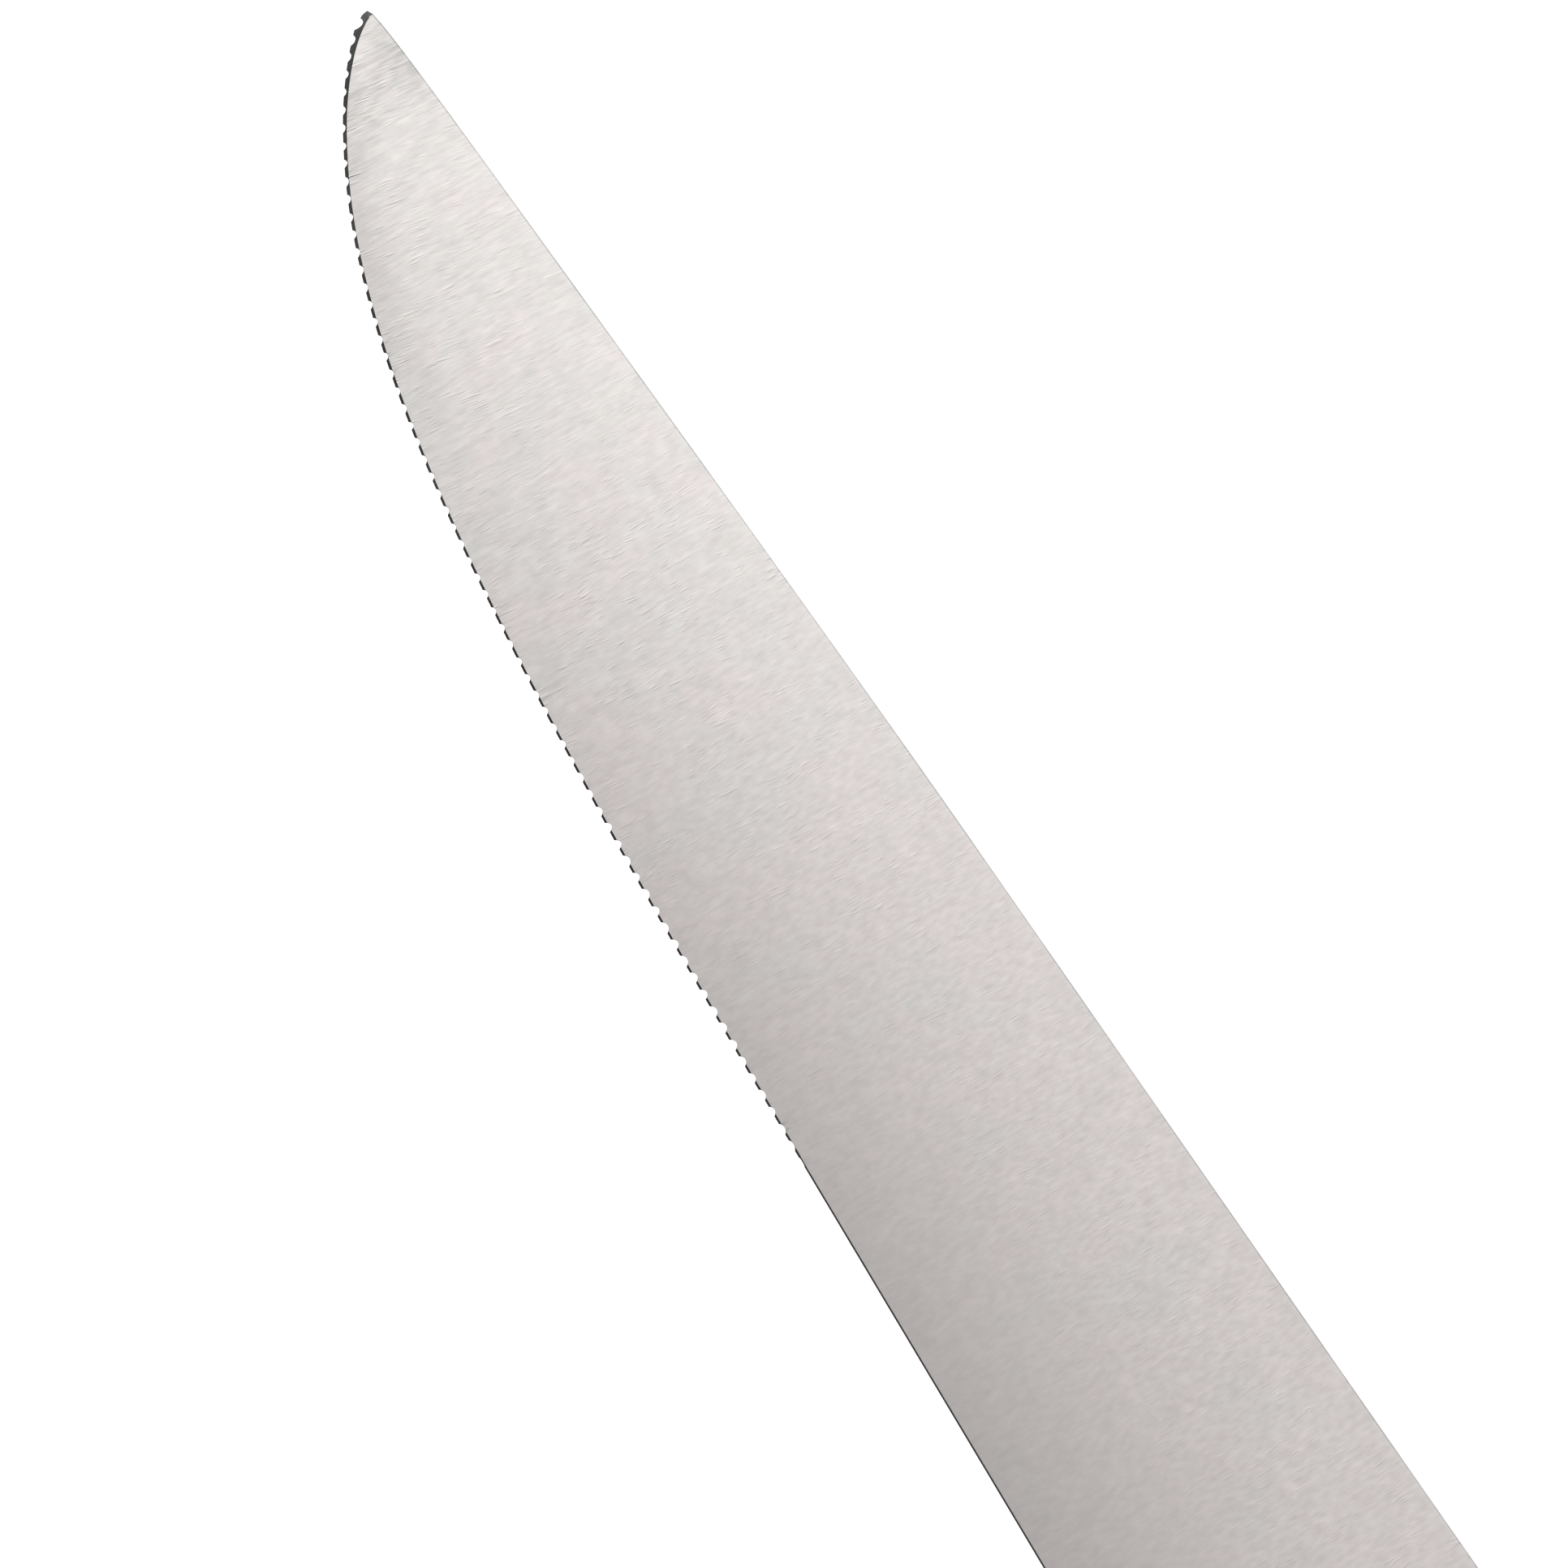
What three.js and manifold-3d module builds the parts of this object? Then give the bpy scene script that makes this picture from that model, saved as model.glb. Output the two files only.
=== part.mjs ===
// A snack knife: a thin ground blade with a finely toothed edge, in one piece with a flat tang,
// and two wooden scales held to the tang by three two-piece rivets.
// Millimetres. The knife lies on its side: +X points at the tip, +Y at the cutting edge and
// +Z out of the blade's front face. It is drawn with the tip near x = 0, y = 0 and the middle
// of the steel at z = 0, and moved at the end so that the origin is below its middle.

import * as THREE from 'three';
import { mergeVertices } from 'three/addons/utils/BufferGeometryUtils.js';
import Module from 'manifold-3d';

const wasm = await Module();
wasm.setup();

// Blade outline
const BLADE_LENGTH = 120; // tip to the front of the handle
const SPINE_DROP = 1.05; // how far the straight back lies above the back's end at the tip
const SPINE_SWEEP = 60; // length over which the back bends down to the tip
const SPINE_BEND = 1.5; // power of that bend
const TIP_NOSE = 0.14; // the tip's end below the back's end
const BELLY_LENGTH = 70.35; // tip to the end of the straight heel edge
const BELLY_DEPTH = 16.96; // tip down to that point
const EDGE_SLOPE = 0.0583; // fall of the straight heel edge
const BELLY_HEEL_PULL = 42; // how long the curved edge keeps the heel's direction
const BELLY_TIP_PULL = 15.9; // how long it keeps the tip's direction
const TIP_ANGLE = 52.6; // degrees between the edge and the blade's axis at the tip
const TIP_REACH = 1.68; // where the curved edge would end, past the tip, if that were not blunt
const TIP_LIFT = 1.06;
const TIP_BLUNT = 0.66; // width left between edge and back at the blunt tip
const TIP_SETBACK = 0.3; // how far the edge is taken back at the tip
const TIP_SETBACK_LENGTH = 0.95; // length of edge over which that fades
const HEEL_GAP = 3; // end of the edge to the front of the handle
const TANG_STEP = 0.02; // step all round where the blade meets the tang
const ROOT_REACH = 2; // how far the blade's root goes on inside the tang, narrowing

// Grind and edge
const TANG_THICKNESS = 1.4; // also the back's thickness at the handle
const TIP_THICKNESS = 0.7;
const HEEL_THICKNESS = 0.24; // behind the bevel at the heel
const BEVEL_ANGLE = 38; // degrees between the bevel and the middle of the blade
const EDGE_LAND = 0.06; // thickness left at the cutting edge

// Teeth, as notches of an even pitch that get wider and deeper towards the tip
const TOOTH_PITCH = 1.099;
const FIRST_NOTCH = 0.75; // tip to the middle of the first notch
const NOTCH_WIDTH = 0.48;
const NOTCH_DEPTH = 0.19;
const NOTCH_FLOOR = 0.12; // flat bottom of a notch
const TIP_NOTCH_WIDTH = 0.3; // added to the width of a notch at the tip
const TIP_NOTCH_DEPTH = 0.14; // added to its depth
const TIP_NOTCH_FADE = 2.5; // distance over which these additions fade
const NOTCH_LIP = 0.06; // face kept whole beyond the notches

// Handle
const HANDLE_LENGTH = 108;
const HANDLE_FRONT_HEIGHT = 17.2;
const HANDLE_WAIST_HEIGHT = 16.4;
const HANDLE_WAIST = 32; // front of the handle to its waist
const HANDLE_END_HEIGHT = 19.5;
const HANDLE_END_ROUND = 10; // length of the rounded end
const HANDLE_DROOP = 1.5; // how far the back comes down at the end
const SCALE_THICKNESS = 5.8;
const SCALE_WALL = 1.4; // straight side of a scale, next to the tang
const SCALE_ROUND = 4.5; // width of the rounded border of a scale

// Rivets
const RIVET_HEAD_DIAMETER = 6;
const RIVET_HEAD_THICKNESS = 1.6;
const RIVET_TUBE_DIAMETER = 4.4;
const RIVET_POST_DIAMETER = 3;
const RIVET_FIT = 0.1; // clearance all round a shank, a head and a post
const RIVET_END_GAP = 0.3; // free length at the ends of the post and of the tube
const RIVET_FRONT_INSET = 14; // front of the handle to the first rivet
const RIVET_REAR_INSET = 21; // last rivet to the end of the handle

// Fineness of the curves
const HANDLE_STEPS = 14;
const END_STEPS = 6;
const ROUND_STEPS = 5;
const HEEL_STEPS = 6;
const RIVET_SIDES = 24;

const ease = (f) => f * f * (3 - 2 * f);
const mix = (a, b, f) => a + (b - a) * f;
const steps = (count) => Array.from({ length: count + 1 }, (_, i) => i / count);

// A closed geometry as a solid that can be joined and cut, and back.
function solidOf(geometry) {
  const bare = geometry.clone();
  bare.deleteAttribute('normal');
  bare.deleteAttribute('uv');
  const merged = mergeVertices(bare, 1e-4);
  return new wasm.Manifold(new wasm.Mesh({
    numProp: 3,
    vertProperties: new Float32Array(merged.attributes.position.array),
    triVerts: new Uint32Array(merged.index.array),
  }));
}

function geometryOf(solid) {
  const mesh = solid.getMesh();
  const geometry = new THREE.BufferGeometry();
  geometry.setAttribute('position', new THREE.BufferAttribute(mesh.vertProperties, mesh.numProp));
  geometry.setIndex(new THREE.BufferAttribute(mesh.triVerts, 1));
  return geometry;
}

// Skin over a row of sections with equal numbers of points, closed at both ends.
function loft(sections) {
  const size = sections[0].length;
  const index = [];
  for (let row = 0; row + 1 < sections.length; row++) {
    for (let k = 0; k < size; k++) {
      const a = row * size + k;
      const b = row * size + (k + 1) % size;
      index.push(a, a + size, b, b, a + size, b + size);
    }
  }
  const last = (sections.length - 1) * size;
  for (let k = 1; k + 1 < size; k++) {
    index.push(0, k, k + 1, last, last + k + 1, last + k);
  }
  const geometry = new THREE.BufferGeometry();
  geometry.setAttribute('position', new THREE.Float32BufferAttribute(sections.flat(2), 3));
  geometry.setIndex(index);
  return geometry;
}

// Back of the blade: straight from the handle, then bending down to the tip.
const SPINE_Y = -TIP_NOSE - SPINE_DROP;

function spineY(x) {
  const bend = Math.max(0, 1 + x / SPINE_SWEEP);
  return SPINE_Y + SPINE_DROP * bend ** SPINE_BEND;
}

// Edge of the blade: a straight heel that runs on into one curve up to the tip.
const heelStart = new THREE.Vector2(-BELLY_LENGTH, BELLY_DEPTH);
const heelDirection = new THREE.Vector2(1, -EDGE_SLOPE).normalize();
const tipAngle = THREE.MathUtils.degToRad(TIP_ANGLE);
const tipDirection = new THREE.Vector2(Math.cos(tipAngle), -Math.sin(tipAngle));
const tipAim = new THREE.Vector2(TIP_REACH, -TIP_LIFT);
const belly = new THREE.CubicBezierCurve(
  heelStart,
  heelStart.clone().addScaledVector(heelDirection, BELLY_HEEL_PULL),
  tipAim.clone().addScaledVector(tipDirection, -BELLY_TIP_PULL),
  tipAim,
);
belly.arcLengthDivisions = 2000;
const bellyArc = belly.getLength();
const handleX = -BLADE_LENGTH;
const heelX = handleX + HEEL_GAP;
const heelEdgeY = (x) => BELLY_DEPTH - EDGE_SLOPE * (x + BELLY_LENGTH);

// Arc length from the curve's start to the blunt tip, where edge and back are TIP_BLUNT apart.
function findTipArc() {
  let low = 0.5;
  let high = 1;
  for (let turn = 0; turn < 40; turn++) {
    const middle = (low + high) / 2;
    const point = belly.getPointAt(middle);
    if (point.y - spineY(point.x) > TIP_BLUNT) low = middle;
    else high = middle;
  }
  return low * bellyArc;
}
const tipArc = findTipArc();

// Both faces are ground as planes: full tang thickness at the handle's back, thin at edge and tip.
const grindY = (TANG_THICKNESS - HEEL_THICKNESS) / 2 / (heelEdgeY(handleX) - SPINE_Y);
const grindX = ((TANG_THICKNESS - TIP_THICKNESS) / 2 + grindY * SPINE_Y) / BLADE_LENGTH;
const halfThickness = (p) => TIP_THICKNESS / 2 - grindX * p.x - grindY * p.y;
const bevelSlope = Math.tan(THREE.MathUtils.degToRad(BEVEL_ANGLE));
const bevelWidth = (p) => (halfThickness(p) - EDGE_LAND / 2) / bevelSlope;
const atTip = (fromTip) => Math.exp(-fromTip / TIP_NOTCH_FADE);
const notchDepth = (fromTip) => NOTCH_DEPTH + TIP_NOTCH_DEPTH * atTip(fromTip);
const notchWidth = (fromTip) => NOTCH_WIDTH + TIP_NOTCH_WIDTH * atTip(fromTip);

// One section of the steel: back, bevel line, edge, and the same three on the back face.
function section(spine, inner, outer, halves) {
  const [spineHalf, innerHalf, outerHalf] = halves;
  return [
    [spine.x, spine.y, spineHalf],
    [inner.x, inner.y, innerHalf],
    [outer.x, outer.y, outerHalf],
    [outer.x, outer.y, -outerHalf],
    [inner.x, inner.y, -innerHalf],
    [spine.x, spine.y, -spineHalf],
  ];
}

// Section at an edge point, with the edge cut back by a depth along its outward normal.
function edgeSection(point, normal, depth, reach) {
  const bevel = bevelWidth(point);
  const inner = point.clone().addScaledVector(normal, -Math.max(bevel, reach));
  const outer = point.clone().addScaledVector(normal, -depth);
  const spine = new THREE.Vector2(inner.x, spineY(inner.x));
  const outerHalf = mix(EDGE_LAND / 2, halfThickness(outer), Math.min(1, depth / bevel));
  return section(spine, inner, outer, [halfThickness(spine), halfThickness(inner), outerHalf]);
}

function bellySection(fromTip, depth) {
  const share = (tipArc - fromTip) / bellyArc;
  const tangent = belly.getTangentAt(share);
  const normal = new THREE.Vector2(-tangent.y, tangent.x);
  const setback = TIP_SETBACK * Math.max(0, 1 - fromTip / TIP_SETBACK_LENGTH);
  const point = belly.getPointAt(share).addScaledVector(normal, -setback);
  return edgeSection(point, normal, depth, notchDepth(fromTip) + NOTCH_LIP);
}

// Toothed part of the edge, from the straight heel to the tip: four sections for each notch.
function toothSections() {
  const rows = [bellySection(0, 0)];
  for (let at = FIRST_NOTCH; at + NOTCH_WIDTH / 2 < tipArc; at += TOOTH_PITCH) {
    const width = notchWidth(at) / 2;
    const floor = NOTCH_FLOOR / 2;
    const depth = notchDepth(at);
    rows.push(bellySection(at - width, 0), bellySection(at - floor, depth));
    rows.push(bellySection(at + floor, depth), bellySection(at + width, 0));
  }
  return rows.reverse();
}

// Plain heel edge and the step from the heel up to the tang, whose thickness it takes on.
function heelSections() {
  const rootHalf = TANG_THICKNESS / 2 - TANG_STEP;
  const rootY = SPINE_Y + HANDLE_FRONT_HEIGHT - TANG_STEP;
  const normal = new THREE.Vector2(-heelDirection.y, heelDirection.x);
  const plain = [heelX, (heelX - BELLY_LENGTH) / 2].map((x) => (
    edgeSection(new THREE.Vector2(x, heelEdgeY(x)), normal, 0, NOTCH_DEPTH + NOTCH_LIP)
  ));
  const [spine, inner, outer] = plain[0];
  const step = steps(HEEL_STEPS).slice(1).map((f) => {
    const rise = ease(f);
    const point = ([x, y, z], toY) => [
      { x: mix(x, handleX, f), y: mix(y, toY, rise) },
      mix(z, rootHalf, rise),
    ];
    const [a, aHalf] = point(spine, SPINE_Y + TANG_STEP);
    const [b, bHalf] = point(inner, rootY - (outer[1] - inner[1]));
    const [c, cHalf] = point(outer, rootY);
    return section(a, b, c, [aHalf, bHalf, cHalf]);
  });
  return [...step.reverse(), ...plain];
}

// Outline of tang and scales, behind the blade: back, rounded end and belly of the handle.
const endX = handleX - HANDLE_LENGTH + HANDLE_END_ROUND;
const handleBackY = (back) => SPINE_Y + HANDLE_DROOP * ease(back / (handleX - endX));

function handleBellyY(back) {
  const front = SPINE_Y + HANDLE_FRONT_HEIGHT;
  const waist = handleBackY(HANDLE_WAIST) + HANDLE_WAIST_HEIGHT;
  const end = SPINE_Y + HANDLE_DROOP + HANDLE_END_HEIGHT;
  if (back < HANDLE_WAIST) return mix(front, waist, ease(back / HANDLE_WAIST));
  return mix(waist, end, ease((back - HANDLE_WAIST) / (handleX - endX - HANDLE_WAIST)));
}

function handleOutline() {
  const along = steps(HANDLE_STEPS).map((f) => f * (handleX - endX));
  const middle = SPINE_Y + HANDLE_DROOP + HANDLE_END_HEIGHT / 2;
  const back = along.map((d) => new THREE.Vector2(handleX - d, handleBackY(d)));
  const end = steps(2 * END_STEPS).slice(1, -1).map((f) => new THREE.Vector2(
    endX - HANDLE_END_ROUND * Math.sin(f * Math.PI),
    middle - HANDLE_END_HEIGHT / 2 * Math.cos(f * Math.PI),
  ));
  const under = along.map((d) => new THREE.Vector2(handleX - d, handleBellyY(d))).reverse();
  return new THREE.Shape([...back, ...end, ...under]);
}
const outline = handleOutline();

// Rivets: their places along the handle, half way between its back and its belly.
const scaleOuter = TANG_THICKNESS / 2 + SCALE_THICKNESS;
const headUnder = scaleOuter - RIVET_HEAD_THICKNESS;
const rivetFrontX = handleX - RIVET_FRONT_INSET;
const rivetRearX = handleX - HANDLE_LENGTH + RIVET_REAR_INSET;
const rivets = [
  ['rivet_front', rivetFrontX],
  ['rivet_middle', (rivetFrontX + rivetRearX) / 2],
  ['rivet_rear', rivetRearX],
].map(([name, x]) => ({
  name,
  x,
  y: (handleBackY(handleX - x) + handleBellyY(handleX - x)) / 2,
}));

// Round cutter along Z at a rivet, between two heights.
function bore(rivet, diameter, low, high) {
  const cylinder = new THREE.CylinderGeometry(diameter / 2, diameter / 2, high - low, RIVET_SIDES);
  cylinder.rotateX(Math.PI / 2);
  cylinder.translate(rivet.x, rivet.y, (low + high) / 2);
  return solidOf(cylinder);
}

const tubeHole = RIVET_TUBE_DIAMETER + 2 * RIVET_FIT;
const headHole = RIVET_HEAD_DIAMETER + 2 * RIVET_FIT;
const beyond = 2 * scaleOuter;

function drilled(solid) {
  return rivets.reduce((left, rivet) => left.subtract(bore(rivet, tubeHole, -beyond, beyond)), solid);
}

// Blade and tang in one piece. The blade's root narrows inside the tang, so the two join as one.
function bladeGeometry() {
  const tangHalf = TANG_THICKNESS / 2;
  const rootX = handleX - ROOT_REACH;
  const rootY = SPINE_Y + HANDLE_FRONT_HEIGHT - ROOT_REACH;
  const root = section(
    { x: rootX, y: SPINE_Y + ROOT_REACH },
    { x: rootX, y: rootY - ROOT_REACH },
    { x: rootX, y: rootY },
    [tangHalf / 2, tangHalf / 2, tangHalf / 2],
  );
  const blade = solidOf(loft([root, ...heelSections(), ...toothSections()]));
  const tang = new THREE.ExtrudeGeometry(outline, { depth: TANG_THICKNESS, bevelEnabled: false });
  tang.translate(0, 0, -tangHalf);
  return geometryOf(drilled(blade.add(solidOf(tang))));
}

// Handle block with its border rounded off on both sides, of which each scale is one half.
function handleBlock() {
  const straight = TANG_THICKNESS / 2 + SCALE_WALL;
  const block = new THREE.ExtrudeGeometry(outline, {
    depth: 2 * straight,
    bevelThickness: scaleOuter - straight,
    bevelSize: SCALE_ROUND,
    bevelOffset: -SCALE_ROUND,
    bevelSegments: ROUND_STEPS,
  });
  block.translate(0, 0, -straight);
  return solidOf(block);
}

// Scale on the front (side 1) or the back (side -1), with seats for the rivet heads.
function scaleGeometry(side) {
  const tangFace = side * TANG_THICKNESS / 2;
  const away = new THREE.BoxGeometry(2 * HANDLE_LENGTH, 2 * HANDLE_LENGTH, beyond);
  away.translate(handleX - HANDLE_LENGTH / 2, 0, tangFace - side * beyond / 2);
  const half = drilled(handleBlock().subtract(solidOf(away)));
  const seat = side * headUnder;
  const [low, high] = side > 0 ? [seat, beyond] : [-beyond, seat];
  return geometryOf(rivets.reduce((left, rivet) => left.subtract(bore(rivet, headHole, low, high)), half));
}

function turned(profile) {
  const points = profile.map(([radius, height]) => new THREE.Vector2(radius, height));
  return new THREE.LatheGeometry(points, RIVET_SIDES).rotateX(Math.PI / 2);
}

// Headed pin from the back face, which ends inside the tube of its socket.
function postGeometry() {
  const head = RIVET_HEAD_DIAMETER / 2;
  const post = RIVET_POST_DIAMETER / 2;
  const end = headUnder - RIVET_END_GAP;
  return turned([
    [0, -scaleOuter], [head, -scaleOuter], [head, -headUnder], [post, -headUnder], [post, end], [0, end],
  ]);
}

// Headed tube from the front face, open at the back for the pin.
function socketGeometry() {
  const head = RIVET_HEAD_DIAMETER / 2;
  const tube = RIVET_TUBE_DIAMETER / 2;
  const hole = RIVET_POST_DIAMETER / 2 + RIVET_FIT;
  const end = RIVET_END_GAP - headUnder;
  return turned([
    [0, headUnder], [hole, headUnder], [hole, end], [tube, end],
    [tube, headUnder], [head, headUnder], [head, scaleOuter], [0, scaleOuter],
  ]);
}

const knife = new THREE.Group();

function place(name, geometry, finish, x = 0, y = 0) {
  const mesh = new THREE.Mesh(geometry, new THREE.MeshStandardMaterial(finish));
  mesh.name = name;
  mesh.position.set(x, y, 0);
  knife.add(mesh);
}

const steel = { color: 0xd6d1ce, roughness: 0.35, metalness: 1 };
const wood = { color: 0x8a4b2c, roughness: 0.55, metalness: 0 };
const aluminium = { color: 0xd9dadb, roughness: 0.4, metalness: 1 };

place('blade', bladeGeometry(), steel);
place('scale_front', scaleGeometry(1), wood);
place('scale_back', scaleGeometry(-1), wood);
for (const rivet of rivets) {
  place(`${rivet.name}_post`, postGeometry(), aluminium, rivet.x, rivet.y);
  place(`${rivet.name}_socket`, socketGeometry(), aluminium, rivet.x, rivet.y);
}

// Origin below the middle of the knife, level with the back scale's flat side.
const bounds = new THREE.Box3().setFromObject(knife);
const centre = bounds.getCenter(new THREE.Vector3());
knife.position.set(-centre.x, -centre.y, -bounds.min.z);

export default knife;
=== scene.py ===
"""Looks of a snack knife: a toothed steel blade, two wooden scales and three rivets.

The shapes are worked out in millimetres in a drawing frame whose x runs to the tip, y to the
cutting edge and z out of the front face, with the tip near x = 0, y = 0 and the middle of the
steel at z = 0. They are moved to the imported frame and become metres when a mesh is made.
"""

import math

import bmesh
import bpy
import numpy as np
from bpy.props import FloatProperty, FloatVectorProperty, PointerProperty
from mathutils import Matrix, Vector


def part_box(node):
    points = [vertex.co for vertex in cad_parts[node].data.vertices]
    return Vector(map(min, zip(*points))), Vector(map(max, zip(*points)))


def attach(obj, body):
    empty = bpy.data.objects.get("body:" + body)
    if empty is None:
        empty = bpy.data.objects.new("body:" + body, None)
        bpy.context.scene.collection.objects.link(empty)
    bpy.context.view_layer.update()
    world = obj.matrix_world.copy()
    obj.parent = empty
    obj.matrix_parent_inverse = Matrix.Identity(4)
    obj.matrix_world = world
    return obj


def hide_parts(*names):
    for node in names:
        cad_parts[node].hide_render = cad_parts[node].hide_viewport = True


bl_info = {
    "name": "Snack Knife",
    "version": (1, 0, 0),
    "blender": (4, 5, 0),
    "location": "View3D > Sidebar > Knife",
    "description": "Toothed steel blade with riveted wooden scales, built on the packed frame",
    "category": "Object",
}

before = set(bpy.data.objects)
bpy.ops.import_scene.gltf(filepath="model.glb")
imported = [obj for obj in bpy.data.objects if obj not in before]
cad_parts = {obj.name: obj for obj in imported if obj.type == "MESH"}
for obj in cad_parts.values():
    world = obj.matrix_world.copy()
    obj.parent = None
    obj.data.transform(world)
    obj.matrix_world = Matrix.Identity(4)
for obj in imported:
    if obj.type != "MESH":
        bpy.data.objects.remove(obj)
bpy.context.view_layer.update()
MM = 0.001


def box_mm(node):
    """Lowest and highest corner of a node of the frame, in millimetres."""
    return np.array([list(corner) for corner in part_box(node)]) / MM


# Blade outline
BLADE_LENGTH = 120.0
SPINE_DROP = 1.05
SPINE_SWEEP = 60.0
SPINE_BEND = 1.5
BACK_FULLNESS = 0.095
FULLNESS_PLACE = 9.0
TIP_NOSE = 0.14
SPINE_Y = -TIP_NOSE - SPINE_DROP
BELLY_LENGTH = 70.35
BELLY_DEPTH = 16.96
EDGE_SLOPE = 0.0583
BELLY_HEEL_PULL = 42.0
BELLY_TIP_PULL = 15.9
TIP_ANGLE = math.radians(52.6)
TIP_REACH = 1.68
TIP_LIFT = 1.06
BELLY_SETBACK = 0.035
SETBACK_START = (5.0, 9.0)
SETBACK_STOP = (48.0, 54.0)
NOSE_DROP = 0.13
NOSE_FADE = 0.85
NOSE_GAP = 0.06
NOSE_ROUND = 3.0
NOSE_LEAN = math.radians(12.0)
HEEL_GAP = 3.0

# Grind of the faces, rounding of the back, and the ground edge
TIP_THICKNESS = 0.7
HEEL_THICKNESS = 0.24
FACE_CROWN = 0.002
CROWN_LENGTH = 75.0
CROWN_POWER = 0.7
ROLL_DROP = 0.044
ROLL_WIDTH = 2.5
ROLL_START = (2.5, 8.5)
ROLL_STOP = (14.0, 32.0)
BACK_ROUND = 0.12
BACK_STRIP = 0.08
ROUND_SHARE = 0.25
BEVEL_SLOPE = math.tan(math.radians(33.0))
BEVEL_WIDTH = 0.125
HEEL_BEVEL = 0.095
HEEL_BEVEL_STEP = (73.5, 74.8)
BEVEL_BELLY_WIDTH = 0.205
BEVEL_BELLY_FADE = 14.0
BEVEL_TIP_WIDTH = 0.41
BEVEL_TIP_FADE = 1.4
NOSE_BEVEL = 0.44
EDGE_LAND = 0.03
LAND_STEP = EDGE_LAND / 4.0

# Teeth
FIRST_NOTCH = 0.33
NOTCH_WIDTH = 0.56
NOTCH_TIP_SHARE = 0.47
NOTCH_ROUND = 2.4
TIP_NOTCH_WIDTH = 0.36
TIP_NOTCH_DEPTH = 0.36
TIP_NOTCH_FADE = 1.2
SHALLOW_SHARE = 0.64
SHALLOW_LENGTH = 14.0
HEEL_NOTCH_WIDTH = 0.12
HEEL_NOTCH_SHARE = 0.4
HEEL_NOTCH_RISE = (42.0, 58.0)
TOOTHED_HEEL = 1.2
RUN_OUT_START = 66.0
RUN_OUT_LENGTH = 8.35
NOTCH_LIP = 0.06
TANG_LIP_SHARE = 0.25
TOOTH_SEED = 5
WIDTH_SPREAD = 0.1
DEPTH_SPREAD = 0.12
PLACE_SPREAD = 0.03

# Handle
HANDLE_FRONT_HEIGHT = 17.2
HANDLE_WAIST_HEIGHT = 16.4
HANDLE_WAIST = 32.0
HANDLE_END_HEIGHT = 19.5
HANDLE_END_ROUND = 10.0
HANDLE_DROOP = 1.5
SCALE_WALL = 1.4
SCALE_ROUND = 4.5
FLAT_MARGIN = 0.4

# Rivets
RIVET_HEAD_RADIUS = 3.0
RIVET_HEAD_THICKNESS = 1.6
RIVET_TUBE_RADIUS = 2.2
RIVET_POST_RADIUS = 1.5
RIVET_FIT = 0.1
RIVET_END_GAP = 0.3
RIVET_RIM = 0.09
RIVET_PROUD = 0.04
SEAT_FIT = 0.03
RIVET_NAMES = ("front", "middle", "rear")

# Marks of the steel's faces, for its material
EDGE_MARK = 1.0
BACK_MARK = -1.0

# Fineness of the surfaces
CURVE_STEPS = 20001
NOSE_STEPS = 12
NOTCH_STEPS = 11
FACE_STEPS = 14
FACE_CROWDING = 1.8
ROUND_STEPS = 8
HEEL_STEPS = 14
HANDLE_STEPS = 60
END_STEPS = 24
BORDER_STEPS = 12
TURN_STEPS = 96
SHARP_ANGLE = math.radians(17.0)
LEAST_ROOM = 1e-9
MERGE_DISTANCE = 1e-5

# Places and lengths that the frame gives
SCALE_BOX = box_mm("scale_front")
BLADE_BOX = box_mm("blade")
HANDLE_LENGTH = SCALE_BOX[1, 0] - SCALE_BOX[0, 0]
TANG_HALF = (BLADE_BOX[1, 2] - BLADE_BOX[0, 2]) / 2.0
SCALE_OUTER = TANG_HALF + SCALE_BOX[1, 2] - SCALE_BOX[0, 2]
DRAWING_ORIGIN = np.array([
    SCALE_BOX[1, 0] + BLADE_LENGTH,
    SCALE_BOX[0, 1] - SPINE_Y,
    (BLADE_BOX[0, 2] + BLADE_BOX[1, 2]) / 2.0,
])
TIP_X = BLADE_BOX[1, 0] - DRAWING_ORIGIN[0]
HANDLE_X = -BLADE_LENGTH
HEEL_X = HANDLE_X + HEEL_GAP
END_X = HANDLE_X - HANDLE_LENGTH + HANDLE_END_ROUND
END_Y = SPINE_Y + HANDLE_DROOP + HANDLE_END_HEIGHT / 2.0
RIVET_UNDER = SCALE_OUTER - RIVET_HEAD_THICKNESS


def ease(share):
    """Smooth rise from 0 to 1: three times the square less twice the cube of a clipped share."""
    share = np.clip(share, 0.0, 1.0)
    return share * share * (3.0 - 2.0 * share)


def step_up(value, span):
    """Smooth rise of a value from 0 at the start of a span to 1 at its end."""
    start, stop = span
    return ease((value - start) / (stop - start))


def stretch(value, rise, fall):
    """Smooth rise of a value over one span, times its fall over another."""
    return step_up(value, rise) * (1.0 - step_up(value, fall))


def quarter(steps):
    """Angles of a quarter turn, in even steps."""
    return np.linspace(0.0, math.pi / 2.0, steps)


def spine_y(x):
    """Back of the blade: straight, then bending to the tip with a power of the distance.

    At the tip itself it drops by a little more, which fades with the distance. Behind the tip
    it is slightly fuller: the distance times its falling exponential, faded out with the bend.
    """
    before = np.maximum(0.0, 1.0 + x / SPINE_SWEEP)
    away = np.maximum(0.0, -x / FULLNESS_PLACE)
    full = BACK_FULLNESS * before * away * np.exp(1.0 - away)
    return SPINE_Y + SPINE_DROP * before**SPINE_BEND + NOSE_DROP * np.exp(x / NOSE_FADE) - full


def heel_edge_y(x):
    """Straight heel edge, a line through the end of the curved edge."""
    return BELLY_DEPTH - EDGE_SLOPE * (x + BELLY_LENGTH)


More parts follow.
